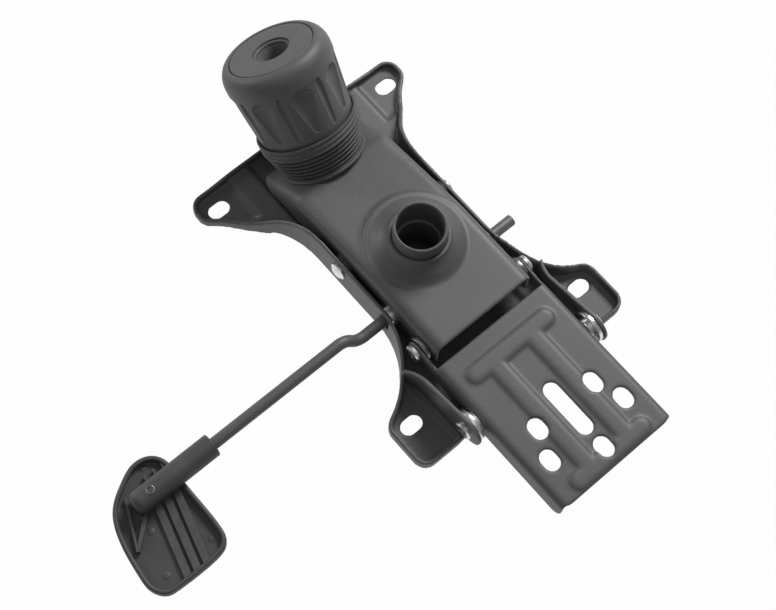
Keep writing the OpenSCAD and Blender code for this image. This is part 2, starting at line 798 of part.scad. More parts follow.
module tension_knob() {
    core = washer_top + side_gap;
    well_r = cap_hole_r - 3;
    seam = knob_top - seam_low;
    low = knob_low + 5;
    shoulder = [for (p = arc([0, 0], 1, 0, 90))
        [knob_r - shoulder_r + shoulder_r * p.x, knob_top - shoulder_h + shoulder_h * p.y]];
    color(black) on_knob_axis() difference() {
        rotate_extrude() polygon(concat(
            [[well_r, core], [knob_cavity_r, core], [knob_cavity_r, knob_low],
            [knob_low_r - 1, knob_low], [knob_side(knob_low + 1), knob_low + 1],
            [knob_side(seam), seam], [knob_r, seam]], shoulder,
            [[cap_r + cap_gap, knob_top], [cap_r + cap_gap, knob_top - cap_t], [well_r, knob_top - cap_t]]));
        for (i = [0:knob_scoops - 1]) {
            rotate([0, 0, 360 * i / knob_scoops]) knob_hollow(low, 2.4, 1.2, seam - 9, 10, 2.8);
            rotate([0, 0, 360 * (i + 0.5) / knob_scoops]) knob_hollow(low, 2.2, 1.3, seam - 4, 2.6, 1.7);
        }
        translate([0, 0, core - 1]) cylinder(h = nut_t + 1, r = nut_r + seat_gap, $fn = 6);
    }
}

module knob_cap() {
    low = knob_top - cap_t;
    color(black) on_knob_axis() rotate_extrude() polygon([[cap_hole_r, low], [cap_r, low],
        [cap_r, knob_top - 0.6], [cap_r - 0.6, knob_top], [cap_hole_r + 0.6, knob_top], [cap_hole_r, knob_top - 0.6]]);
}

module knob_nut() {
    core = washer_top + side_gap;
    color(zinc) on_knob_axis() translate([0, 0, core]) difference() {
        cylinder(h = nut_t - side_gap, r = nut_r, $fn = 6);
        translate([0, 0, -1]) cylinder(h = nut_t + 2, r = bolt_r + run_gap);
    }
}

// Lever

module detent_clip() {
    color(zinc) ring_x(-26, -22, rod_y, rod_z, rod_r + 2.5, rod_r + run_gap);
}

module lever_rod() {
    knee = [crank_x, rod_y, rod_z];
    elbow = [crank_x + crank_len, outer_y, outer_z];
    run = elbow - knee;
    bend_r = rod_r + 0.05;
    color(steel) difference() {
        union() {
            bar_x(rod_end_x, crank_x, rod_y, rod_z, rod_r);
            translate(knee) {
                sphere(bend_r);
                rotate([0, acos(run.z / norm(run)), atan2(run.y, run.x)]) cylinder(h = norm(run), r = rod_r);
            }
            translate(elbow) sphere(bend_r);
            bar_x(elbow.x, rivet_x + 6, outer_y, outer_z, rod_r);
        }
        translate([rivet_x, outer_y, 0]) cylinder(h = far, r = rivet_r + seat_gap);
    }
}

// Finger on the rod that presses the gas lift's button
module release_tongue() {
    low = socket_low_z - 7.8;
    thick = 3;
    tip_y = -5;
    wide = [-6, 6];
    color(steel) difference() {
        across(wide[0], wide[1]) polygon([[tip_y, low], [rod_y + thick / 2, low], [rod_y + thick / 2, rod_z - 1],
            [rod_y - thick / 2, rod_z - 1], [rod_y - thick / 2, low + thick], [tip_y, low + thick]]);
        bar_x(wide[0] - 1, wide[1] + 1, rod_y, rod_z, rod_r + seat_gap);
    }
}

module lever_sleeve() {
    bore = rod_r + seat_gap;
    bore_l = rivet_x + 7 - sleeve_x;
    round_r = 5;
    color(black) difference() {
        translate([sleeve_x, outer_y, outer_z]) rotate([0, 90, 0]) rotate_extrude() polygon(concat(
            [[0, bore_l], [bore, bore_l], [bore, 0], [sleeve_r - 0.8, 0], [sleeve_r, 0.8]],
            arc([sleeve_r - round_r, sleeve_len - round_r], round_r, 0, 90, 6), [[0, sleeve_len]]));
        translate([rivet_x, outer_y, 0]) cylinder(h = far, r = rivet_r + seat_gap);
    }
}

// Paddle: middles of its four rounds, from the front inner corner
paddle_x = sleeve_end - 22;
paddle_y = outer_y - 11.5;
paddle_l = 55.5;
paddle_w = 32;
paddle_inner_r = 12.5;
paddle_outer_r = 14;
paddle_bulge_r = 24.5;
paddle_bulge = [16.5, 19];
paddle_rim = 3;

// Paddle outline, moved inwards by d
module paddle_outline(d) {
    hull() {
        translate([paddle_x, paddle_y]) circle(paddle_inner_r - d, $fn = 32);
        translate([paddle_x, paddle_y + paddle_l]) circle(paddle_inner_r - d, $fn = 32);
        translate([paddle_x + paddle_w, paddle_y + paddle_l - 1]) circle(paddle_outer_r - d, $fn = 32);
        translate([paddle_x, paddle_y] + paddle_bulge) circle(paddle_bulge_r - d, $fn = 32);
    }
}

module lever_paddle() {
    floor_z = paddle_z + paddle_t;
    rib_pitch = 7;
    rib_w = 2;
    rib_l = 45;
    rib_rise = 2;
    saddle_l = 30;
    saddle_w = 12;
    saddle_h = 6;
    color(black) difference() {
        union() {
            translate([0, 0, paddle_z]) linear_extrude(paddle_t) paddle_outline(0);
            translate([0, 0, paddle_z]) linear_extrude(paddle_t + paddle_rim_h) difference() {
                paddle_outline(0);
                paddle_outline(paddle_rim);
            }
            // Ribs across the thumb side, square to the outer edge
            intersection() {
                for (i = [0:3]) translate([paddle_x + rib_pitch * (i - 0.4), outer_y + sleeve_r + 1, floor_z - 0.5])
                    rotate([0, 0, -19]) cube([rib_w, rib_l, rib_rise + 0.5]);
                translate([0, 0, floor_z - 1]) linear_extrude(2 * paddle_rim_h) paddle_outline(paddle_rim + 1);
            }
            // Saddle under the sleeve
            translate([paddle_x - 10, outer_y - saddle_w / 2, floor_z - 0.5]) cube([saddle_l, saddle_w, saddle_h]);
        }
        bar_x(sleeve_x, sleeve_end + 4, outer_y, outer_z, sleeve_r + run_gap);
        translate([rivet_x, outer_y, 0]) cylinder(h = far, r = rivet_r + seat_gap);
    }
}

module sleeve_rivet() {
    top = outer_z + sleeve_r;
    color(zinc) {
        translate([rivet_x, outer_y, paddle_z]) cylinder(h = top + 0.5 - paddle_z, r = rivet_r);
        difference() {
            translate([rivet_x, outer_y, top - 1.5]) cylinder(h = 2.6, r1 = rivet_r + 2.2, r2 = rivet_r + 1.2);
            bar_x(sleeve_x, sleeve_end + 4, outer_y, outer_z, sleeve_r + seat_gap);
        }
    }
}

seat_plate();
left_rear_lug();
right_rear_lug();
main_axle();
axle_heads();
rear_pivot_bolts();
rear_pivot_spacers();
rear_pivot_collars();
spring_anchor();
housing();
socket_tube();
socket_bridge();
axle_bushes();
lever_bushes();
front_pivot_bolts();
front_pivot_spacers();
front_pivot_collars();
spring_seat();
bellows();
tension_spring();
back_bracket();
tension_bolt();
bolt_cross_bar();
thrust_washer();
tension_knob();
knob_cap();
knob_nut();
detent_clip();
lever_rod();
release_tongue();
lever_sleeve();
lever_paddle();
sleeve_rivet();
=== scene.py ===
"""Looks of the office chair tilt mechanism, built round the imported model.

Lengths in this script are millimetres in the part's frame, and become metres as a mesh is made.
"""

import json
import math

import bmesh
import bpy
import numpy as np
from mathutils import Matrix, Vector


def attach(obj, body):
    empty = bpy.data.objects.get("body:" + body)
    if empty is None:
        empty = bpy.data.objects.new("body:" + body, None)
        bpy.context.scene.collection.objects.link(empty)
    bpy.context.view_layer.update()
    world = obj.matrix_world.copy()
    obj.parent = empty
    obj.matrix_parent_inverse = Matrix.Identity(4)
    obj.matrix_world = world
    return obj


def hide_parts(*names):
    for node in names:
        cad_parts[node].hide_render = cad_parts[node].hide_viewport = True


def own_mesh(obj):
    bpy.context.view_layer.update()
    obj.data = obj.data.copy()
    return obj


MM = 0.001
MM_PER_METRE = 1000.0
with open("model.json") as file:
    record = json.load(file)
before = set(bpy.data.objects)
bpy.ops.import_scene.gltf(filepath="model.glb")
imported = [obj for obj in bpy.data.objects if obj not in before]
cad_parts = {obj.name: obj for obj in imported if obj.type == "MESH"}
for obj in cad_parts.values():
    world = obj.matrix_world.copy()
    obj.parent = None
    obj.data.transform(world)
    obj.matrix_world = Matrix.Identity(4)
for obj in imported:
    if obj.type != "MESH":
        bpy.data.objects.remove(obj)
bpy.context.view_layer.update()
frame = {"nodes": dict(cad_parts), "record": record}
scene = bpy.context.scene
record = frame["record"]
bodies = record["behaviour"]["bodies"]
body_of = {node: body for body, nodes in bodies.items() for node in nodes}
slot_of = {part["node"]: part["material_slot"] for part in record["subparts"]}


# ---------------------------------------------------------------- node graphs


class Wire:
    """An output socket that takes part in Python arithmetic."""

    def __init__(self, graph, socket):
        self.graph = graph
        self.socket = socket

    def math(self, operation, first, second=0.0):
        return self.graph.node("ShaderNodeMath", {"operation": operation}, {0: first, 1: second})

    def __add__(self, other):
        return self.math("ADD", self, other)

    def __radd__(self, other):
        return self.math("ADD", other, self)

    def __sub__(self, other):
        return self.math("SUBTRACT", self, other)

    def __rsub__(self, other):
        return self.math("SUBTRACT", other, self)

    def __mul__(self, other):
        return self.math("MULTIPLY", self, other)

    def __rmul__(self, other):
        return self.math("MULTIPLY", other, self)

    def __truediv__(self, other):
        return self.math("DIVIDE", self, other)

    def __pow__(self, other):
        return self.math("POWER", self, other)

    def sin(self):
        return self.math("SINE", self)

    def cos(self):
        return self.math("COSINE", self)

    def at_least(self, low):
        return self.math("MAXIMUM", self, low)

    def at_most(self, high):
        return self.math("MINIMUM", self, high)

    def step(self, low, high):
        """0 below low, 1 above high, eased between."""
        settings = {"interpolation_type": "SMOOTHSTEP"}
        return self.graph.node("ShaderNodeMapRange", settings, {0: self, 1: low, 2: high})


class Graph:
    """Adds nodes to a shader or geometry tree."""

    def __init__(self, tree):
        self.tree = tree

    def node(self, kind, settings=None, inputs=None, output=0):
        made = self.tree.nodes.new(kind)
        for key, value in (settings or {}).items():
            setattr(made, key, value)
        for key, value in (inputs or {}).items():
            self.feed(made.inputs[key], value)
        return Wire(self, made.outputs[output])

    def feed(self, socket, value):
        if isinstance(value, Wire):
            self.tree.links.new(value.socket, socket)
        else:
            socket.default_value = value


# ---------------------------------------------------------------- finishes


class Finish(Graph):
    """A material whose detail comes from nodes on Object coordinates."""

    def __init__(self, name):
        self.material = bpy.data.materials.new(name)
        self.material.use_nodes = True
        super().__init__(self.material.node_tree)
        self.shader = self.tree.nodes["Principled BSDF"]
        self.place = self.node("ShaderNodeTexCoord", output="Object")

    def noise(self, scale, detail=3.0, roughness=0.55):
        """Noise of about `scale` millimetres."""
        return self.node(
            "ShaderNodeTexNoise",
            inputs={
                "Vector": self.place,
                "Scale": MM_PER_METRE / scale,
                "Detail": detail,
                "Roughness": roughness,
            },
        )

    def cells(self, scale):
        """Distance to the nearest cell point, for grain of about `scale` millimetres."""
        return self.node("ShaderNodeTexVoronoi", inputs={"Vector": self.place, "Scale": MM_PER_METRE / scale})

    def mix(self, factor, first, second):
        """Colour between first and second."""
        return self.node(
            "ShaderNodeMix",
            {"data_type": "RGBA"},
            {0: factor, 6: self.rgba(first), 7: self.rgba(second)},
            output=2,
        )

    def rgba(self, colour):
        if isinstance(colour, Wire):
            return colour
        return (*colour, 1.0)

    def wear_and_highlight_edges(self):
        """About 1 on convex edges and 0 on flats and hollows; it masks edge wear, and the painted highlight
        on the bellows' fold crests.
        """
        bent = self.node("ShaderNodeNewGeometry", output="Pointiness")
        return bent.step(0.52, 0.59)

    def bump(self, height, strength, distance):
        """Surface relief of about `distance` millimetres."""
        return self.node(
            "ShaderNodeBump", inputs={"Strength": strength, "Distance": distance * MM, "Height": height}
        )

    def set(self, **sockets):
        for name, value in sockets.items():
            self.feed(self.shader.inputs[name.replace("_", " ")], value)
        return self.material


def coated_steel():
    finish = Finish("coated_steel")
    cloud = finish.noise(38.0, detail=4.0)
    peel = finish.noise(1.6, detail=2.0)
    speck = finish.noise(0.45, detail=2.0, roughness=0.6)
    tone = finish.mix(cloud.step(0.3, 0.7), (0.066, 0.067, 0.070), (0.077, 0.078, 0.081))
    grit = finish.noise(0.9, detail=2.0, roughness=0.6)
    tone = finish.mix(grit.step(0.35, 0.7) * 0.5, tone, (0.118, 0.119, 0.122))
    rubbed = finish.wear_and_highlight_edges() * finish.noise(9.0).step(0.42, 0.62)
    tone = finish.mix(rubbed * 0.55, tone, (0.19, 0.19, 0.193))
    rough = 0.43 + cloud * 0.07 + speck * 0.06 - rubbed * 0.06
    relief = peel * 0.75 + speck * 0.25
    return finish.set(
        Base_Color=tone, Roughness=rough, Normal=finish.bump(relief, 0.32, 0.09), Specular_IOR_Level=0.5
    )


def zinc_hardware():
    finish = Finish("zinc_hardware")
    cloud = finish.noise(5.0, detail=4.0, roughness=0.6)
    scratch = finish.noise(0.5, detail=3.0, roughness=0.7)
    stain = finish.noise(2.2, detail=4.0, roughness=0.65).step(0.52, 0.74)
    tone = finish.mix(cloud.step(0.3, 0.7), (0.66, 0.66, 0.64), (0.80, 0.79, 0.76))
    tone = finish.mix(stain * 0.4, tone, (0.34, 0.33, 0.31))
    rough = 0.22 + cloud * 0.14 + stain * 0.16
    return finish.set(
        Base_Color=tone, Metallic=1.0, Roughness=rough, Normal=finish.bump(scratch, 0.25, 0.05)
    )


def bush_plastic():
    finish = Finish("bush_plastic")
    grain = finish.noise(0.6, detail=3.0)
    cloud = finish.noise(6.0, detail=3.0)
    tone = finish.mix(cloud.step(0.3, 0.7), (0.020, 0.020, 0.021), (0.030, 0.030, 0.031))
    return finish.set(
        Base_Color=tone, Roughness=0.5 + grain * 0.12, Normal=finish.bump(grain, 0.2, 0.05)
    )


def bellows_rubber():
    finish = Finish("bellows_rubber")
    bloom = finish.noise(7.0, detail=4.0, roughness=0.6)
    grain = finish.cells(0.5)
    tone = finish.mix(bloom.step(0.35, 0.75), (0.066, 0.066, 0.068), (0.086, 0.086, 0.088))
    # Painted highlight: lighter colour on the convex fold crests, in patches, standing in for the light that
    # the crests catch.
    crest_highlight = finish.wear_and_highlight_edges() * bloom.step(0.3, 0.6)
    tone = finish.mix(crest_highlight * 0.4, tone, (0.110, 0.110, 0.110))
    return finish.set(
        Base_Color=tone,
        Roughness=0.56 + bloom * 0.12,
        Normal=finish.bump(grain, 0.12, 0.05),
        Specular_IOR_Level=0.45,
    )


def spring_steel():
    finish = Finish("spring_steel")
    film = finish.noise(4.0, detail=4.0)
    streak = finish.noise(0.7, detail=3.0)
    tone = finish.mix(film.step(0.3, 0.7), (0.16, 0.16, 0.165), (0.27, 0.265, 0.255))
    return finish.set(
        Base_Color=tone, Metallic=1.0, Roughness=0.32 + film * 0.16, Normal=finish.bump(streak, 0.2, 0.05)
    )


def moulded_plastic(name, low, high, grain_size):
    finish = Finish(name)
    grain = finish.cells(grain_size)
    cloud = finish.noise(16.0, detail=3.0)
    rub = finish.wear_and_highlight_edges() * finish.noise(6.0).step(0.35, 0.65)
    tone = finish.mix(cloud.step(0.3, 0.7), low, high)
    tone = finish.mix(rub * 0.35, tone, tuple(2.0 * part for part in high))
    return finish.set(
        Base_Color=tone,
        Roughness=0.47 + cloud * 0.07 + grain * 0.06 - rub * 0.07,
        Normal=finish.bump(grain, 0.16, 0.07),
        Specular_IOR_Level=0.5,
    )


finishes = {
    "coated_steel": coated_steel(),
    "zinc_hardware": zinc_hardware(),
    "bush_plastic": bush_plastic(),
    "bellows_rubber": bellows_rubber(),
    "spring_steel": spring_steel(),
    "knob_plastic": moulded_plastic("knob_plastic", (0.072, 0.073, 0.075), (0.084, 0.085, 0.087), 0.55),
    "lever_plastic": moulded_plastic("lever_plastic", (0.050, 0.050, 0.052), (0.060, 0.060, 0.062), 0.5),
}


# ---------------------------------------------------------------- mesh tools


def plain(piece):
    """Turns a piece and its modifiers into a plain mesh."""
    bpy.context.view_layer.update()
    evaluated = piece.evaluated_get(bpy.context.evaluated_depsgraph_get())
    mesh = bpy.data.meshes.new_from_object(evaluated)
    piece.modifiers.clear()
    piece.data = mesh
    return piece


def new_piece(name, mesh):
    piece = bpy.data.objects.new(name, mesh)
    scene.collection.objects.link(piece)
    return piece


def mesh_of(name, points, faces, edges=()):
    mesh = bpy.data.meshes.new(name)
    mesh.from_pydata(points, edges, faces)
    return mesh


def outward(mesh):
    """Turns every face outwards."""
    shell = bmesh.new()
    shell.from_mesh(mesh)
    bmesh.ops.recalc_face_normals(shell, faces=shell.faces)
    shell.to_mesh(mesh)
    shell.free()
    return mesh


def in_metres(piece):
    piece.data.transform(Matrix.Scale(MM, 4))
    return piece


def smooth(piece, degrees):
    piece.data.shade_smooth()
    piece.data.set_sharp_from_angle(angle=math.radians(degrees))
    return piece


def dress(piece, node, slot=None):
    """Gives a piece its finish and lets it stand for a CAD node."""
    finish_slot = slot or slot_of[node]
    piece.data.materials.clear()
    piece.data.materials.append(finishes[finish_slot])
    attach(piece, body_of[node])
    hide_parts(node)
    return piece


def merged_copy(node, name):
    """A welded copy of a CAD node's mesh."""
    mesh = frame["nodes"][node].data.copy()
    shell = bmesh.new()
    shell.from_mesh(mesh)
    bmesh.ops.remove_doubles(shell, verts=shell.verts, dist=1e-6)
    shell.to_mesh(mesh)
    shell.free()
    return new_piece(name, mesh)


def soften(piece, cell, rounds):
    """Rounds every edge of a piece, as pressed sheet or a moulding has."""
    skin = piece.modifiers.new("Skin", "REMESH")
    skin.mode = "VOXEL"
    skin.voxel_size = cell * MM
    soft = piece.modifiers.new("Soft", "SMOOTH")
    soft.factor = 0.5
    soft.iterations = rounds
    plain(piece)
    piece.data.shade_smooth()
    return piece


def eased_edges(piece, width, degrees=30.0, steps=2):
    """Puts a small round on the sharp edges of a piece."""
    shell = bmesh.new()
    shell.from_mesh(piece.data)
    bmesh.ops.dissolve_limit(
        shell, angle_limit=math.radians(0.6), verts=shell.verts, edges=shell.edges
    )
    shell.to_mesh(piece.data)
    shell.free()
    bevel = piece.modifiers.new("Ease", "BEVEL")
    bevel.width = width * MM
    bevel.segments = steps
    bevel.limit_method = "ANGLE"
    bevel.angle_limit = math.radians(degrees)
    plain(piece)
    return smooth(piece, degrees=40.0)


def joined(name, pieces):
    """One piece out of several closed ones."""
    shell = bmesh.new()
    for part in pieces:
        shell.from_mesh(part.data)
        bpy.data.objects.remove(part)
    mesh = bpy.data.meshes.new(name)
    shell.to_mesh(mesh)
    shell.free()
    return new_piece(name, mesh)


def prism(name, outline, low, high):
    """Upright block over a plan outline."""
    count = len(outline)
    points = [(x, y, low) for x, y in outline] + [(x, y, high) for x, y in outline]
    sides = [(i, (i + 1) % count, count + (i + 1) % count, count + i) for i in range(count)]
    caps = [tuple(reversed(range(count))), tuple(range(count, 2 * count))]
    return new_piece(name, outward(mesh_of(name, points, sides + caps)))


def lathe(name, line, around):
    """A closed line of radius and height, spun round the Z axis."""
    turn = np.linspace(0.0, math.tau, around, endpoint=False)
    radius, height = np.array(line).T
    points = np.stack(
        [
            np.outer(np.cos(turn), radius).ravel(),
            np.outer(np.sin(turn), radius).ravel(),
            np.tile(height, around),
        ],
        axis=1,
    )
    rows = len(line)
    faces = []
    for i in range(around):
        here = i * rows
        there = (i + 1) % around * rows
        for j in range(rows):
            after = (j + 1) % rows
            faces.append((here + j, there + j, there + after, here + after))
    return new_piece(name, outward(mesh_of(name, points.tolist(), faces)))


def bend(middle, across, up, start, stop, steps=8):
    """Points on part of an oval, between two angles in degrees."""
    angles = np.radians(np.linspace(start, stop, steps))
    return [(middle[0] + across * math.cos(a), middle[1] + up * math.sin(a)) for a in angles]


def as_outline(curve):
    return [tuple(point) for point in curve]


def run(start, stop, steps):
    """Points on a straight line, both ends included."""
    return as_outline(np.linspace(start, stop, steps))


def turned(piece, x_to, y_to, z_to):
    """Turns a piece's own directions to others, and brings it into metres."""
    piece.data.transform(Matrix((x_to, y_to, z_to)).transposed().to_4x4())
    outward(piece.data)
    return in_metres(piece)


def points_of(mesh, key="co"):
    """Places or normals of a mesh's points, one row each."""
    values = np.empty(len(mesh.vertices) * 3)
    mesh.vertices.foreach_get(key, values)
    return values.reshape(-1, 3)


def move_points(mesh, points):
    mesh.vertices.foreach_set("co", points.ravel())
    mesh.update()


# ---------------------------------------------------------------- knob axis

joints = {joint["name"]: joint for joint in record["behaviour"]["joints"]}
KNOB_AXIS = Vector(joints["knob_turn"]["axis"])
KNOB_FOOT = Vector(joints["knob_turn"]["pos_m"]) / MM
KNOB_TILT = math.atan2(-KNOB_AXIS.y, KNOB_AXIS.z)


def on_knob_axis(mesh):
    """Moves a mesh made round the Z axis onto the knob's axis, and into metres."""
    place = Matrix.Translation(KNOB_FOOT) @ Matrix.Rotation(KNOB_TILT, 4, "X")
    mesh.transform(Matrix.Scale(MM, 4) @ place)


# ---------------------------------------------------------------- pieces that follow a rule


class Rule(Graph):
    """A Geometry Nodes tree with named sizes, which makes one plain mesh."""

    def __init__(self, name, **sizes):
        group = bpy.data.node_groups.new(name, "GeometryNodeTree")
        group.interface.new_socket("Geometry", in_out="OUTPUT", socket_type="NodeSocketGeometry")
        group.interface.new_socket("Geometry", in_out="INPUT", socket_type="NodeSocketGeometry")
        super().__init__(group)
        self.sizes = sizes
        self.sockets = {}
        for key, value in sizes.items():
            kind = "NodeSocketInt" if isinstance(value, int) else "NodeSocketFloat"
            self.sockets[key] = group.interface.new_socket(key, in_out="INPUT", socket_type=kind)
        self.inputs = group.nodes.new("NodeGroupInput")
        self.output = group.nodes.new("NodeGroupOutput")

    def start(self):
        return Wire(self, self.inputs.outputs["Geometry"])

    def size(self, key):
        return Wire(self, self.inputs.outputs[key])

    def vector(self, x, y, z):
        return self.node("ShaderNodeCombineXYZ", inputs={0: x, 1: y, 2: z})

    def place(self):
        """The three coordinates of each point."""
        parts = self.node("ShaderNodeSeparateXYZ", inputs={0: self.node("GeometryNodeInputPosition")})
        return [Wire(self, output) for output in parts.socket.node.outputs]

    def grow(self, geometry, material, name, base=None):
        real = self.node("GeometryNodeRealizeInstances", inputs={0: geometry})
        painted = self.node("GeometryNodeSetMaterial", inputs={"Geometry": real, "Material": material})
        self.tree.links.new(painted.socket, self.output.inputs[0])
        piece = base or new_piece(name, bpy.data.meshes.new(name))
        modifier = piece.modifiers.new("Rule", "NODES")
        modifier.node_group = self.tree
        for key, value in self.sizes.items():
            modifier[self.sockets[key].identifier] = value
        return plain(piece)


# Shares of the bellows' length, counted from the foot
RING_TOP = (0.035, 0.06)
SKIRT_TOP = (0.09, 0.11)
FOLDS_LOW = 0.1
FOLDS_SPAN = 0.8
FLARE_SPAN = 0.8
GROOVES_LOW = (0.68, 0.77)
LIP_LOW = (0.9, 0.915)
LIP_ROUND = (0.915, 0.945)
LIP_TOP = (0.97, 1.0)
# Sizes of the bellows' foot, folds and wall
FOOT_Z = 0.3
FOOT_INSET = 0.4
RING_WIDTH = 0.7
FOLD_START = 0.9
FOLD_SHARPNESS = 2.4
BELLOWS_WALL = 1.2


def bellows():
    """Rubber bellows: a lathe of foot, folds and lip round the knob's axis."""
    rule = Rule(
        "bellows_rule",
        length=30.6,
        foot_radius=29.6,
        lip_radius=35.9,
        ribs=7,
        rib_depth=2.7,
        groove_depth=0.7,
        skirt_spread=1.9,
        around=180,
        along=190,
    )
    grid = rule.node(
        "GeometryNodeMeshGrid",
        inputs={
            "Size X": 1.0,
            "Size Y": 1.0,
            "Vertices X": rule.size("around"),
            "Vertices Y": rule.size("along"),
        },
    )
    flat_x, flat_y, _ = rule.place()
    angle = (flat_x + 0.5) * math.tau
    across = flat_y + 0.5
    foot_r = rule.size("foot_radius")
    lip_r = rule.size("lip_radius")
    height = across * rule.size("length") + FOOT_Z
    ramp = ((across - FOLDS_LOW) / FOLDS_SPAN).at_least(0.0).at_most(1.0)
    flare = (ramp / FLARE_SPAN).at_most(1.0)
    crest = foot_r + FOLD_START + (lip_r - foot_r - FOLD_START) * flare
    near_lip = across.step(*GROOVES_LOW)
    depth = rule.size("rib_depth") * (1.0 - near_lip) + rule.size("groove_depth") * near_lip
    wave = (ramp * rule.size("ribs") * math.tau).cos() * -0.5 + 0.5
    ribbed = crest - depth * (1.0 - wave) ** FOLD_SHARPNESS
    skirt = 1.0 - across.step(*SKIRT_TOP)
    lip = across.step(*LIP_LOW)
    base_ring = 1.0 - across.step(*RING_TOP)
    behind = angle.sin().step(-0.45, 0.25)
    below = foot_r - FOOT_INSET + base_ring * RING_WIDTH + behind * rule.size("skirt_spread")
    lip_round = across.step(*LIP_TOP) * -0.3 - (1.0 - across.step(*LIP_ROUND)) * 0.5
    radius = ribbed * (1.0 - skirt) * (1.0 - lip) + below * skirt + (lip_r + lip_round) * lip
    place = rule.vector(radius * angle.cos(), radius * angle.sin(), height)
    spun = rule.node("GeometryNodeSetPosition", inputs={"Geometry": grid, "Position": place})
    welded = rule.node("GeometryNodeMergeByDistance", inputs={"Geometry": spun, "Distance": 0.001})
    piece = rule.grow(welded, finishes["bellows_rubber"], "bellows_sleeve")
    wall = piece.modifiers.new("Wall", "SOLIDIFY")
    wall.thickness = BELLOWS_WALL
    wall.offset = -1.0
    plain(piece)
    outward(piece.data)
    on_knob_axis(piece.data)
    smooth(piece, degrees=50.0)
    dress(piece, "bellows")
    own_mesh(piece)


def tension_spring():
    """Spring wire wound round the tension bolt."""
    rule = Rule("spring_rule", curls=5.5, radius=16.0, wire=3.0, length=38.1, start=5.8)
    path = rule.node(
        "GeometryNodeCurveSpiral",
        inputs={
            "Resolution": 40,
            "Rotations": rule.size("curls"),
            "Start Radius": rule.size("radius"),
            "End Radius": rule.size("radius"),
            "Height": rule.size("length"),
        },
    )
    ring = rule.node(
        "GeometryNodeCurvePrimitiveCircle", inputs={"Resolution": 20, "Radius": rule.size("wire")}
    )
    wire = rule.node("GeometryNodeCurveToMesh", inputs={0: path, 1: ring, "Fill Caps": True})
    lift = rule.vector(0.0, 0.0, rule.size("start"))
    raised = rule.node("GeometryNodeTransform", inputs={"Geometry": wire, "Translation": lift})
    piece = rule.grow(raised, finishes["spring_steel"], "spring_wire")
    on_knob_axis(piece.data)
    smooth(piece, degrees=50.0)
    dress(piece, "tension_spring")
    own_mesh(piece)


def tube(name, points, material, radius, fillet=0.0, closed=False):
    """A round bar along a line of points, with its corners bent to a radius."""
    rule = Rule("tube_rule", radius=radius, fillet=fillet, bend_steps=14, around=28)
    path = rule.node("GeometryNodeMeshToCurve", inputs={"Mesh": rule.start()})
    if fillet:
        path = rule.node(
            "GeometryNodeFilletCurve",
            {"mode": "POLY"},
            {
                "Curve": path,
                "Count": rule.size("bend_steps"),
                "Radius": rule.size("fillet"),
                "Limit Radius": True,
            },
        )
    ring = rule.node(
        "GeometryNodeCurvePrimitiveCircle",
        inputs={"Resolution": rule.size("around"), "Radius": rule.size("radius")},
    )
    bar = rule.node("GeometryNodeCurveToMesh", inputs={0: path, 1: ring, "Fill Caps": True})
    last = len(points) if closed else len(points) - 1
    edges = [(i, (i + 1) % len(points)) for i in range(last)]
    base = new_piece(name, mesh_of(name, points, [], edges))
    return rule.grow(bar, material, name, base)


# ---------------------------------------------------------------- tension knob

KNOB_LOW = 29.5
SKIRT_LOW = 25.0
KNOB_TOP = 88.5
KNOB_R = 38.0
KNOB_LOW_R = 33.5
KNOB_SEAM = 72.5
KNOB_BORE_R = 10.8
KNOB_ROOM_R = 24.0
KNOB_ROOM_TOP = 55.3
SKIRT_IN_R = 27.2
SKIRT_OUT_R = 29.2
RIM_R = 1.0
SEAM_DEPTH = 0.45
SEAM_STEP = 0.15
SHOULDER_R = 7.4
SHOULDER_H = 11.5
CROWN_SHARE = 0.2
HEEL_SHARE = 0.08
CAP_RING = 0.6
CAP_WELL_DEPTH = 3.5
CAP_R = 29.4
CAP_HOLE_R = 11.5
CAP_SINK_R = 13.4


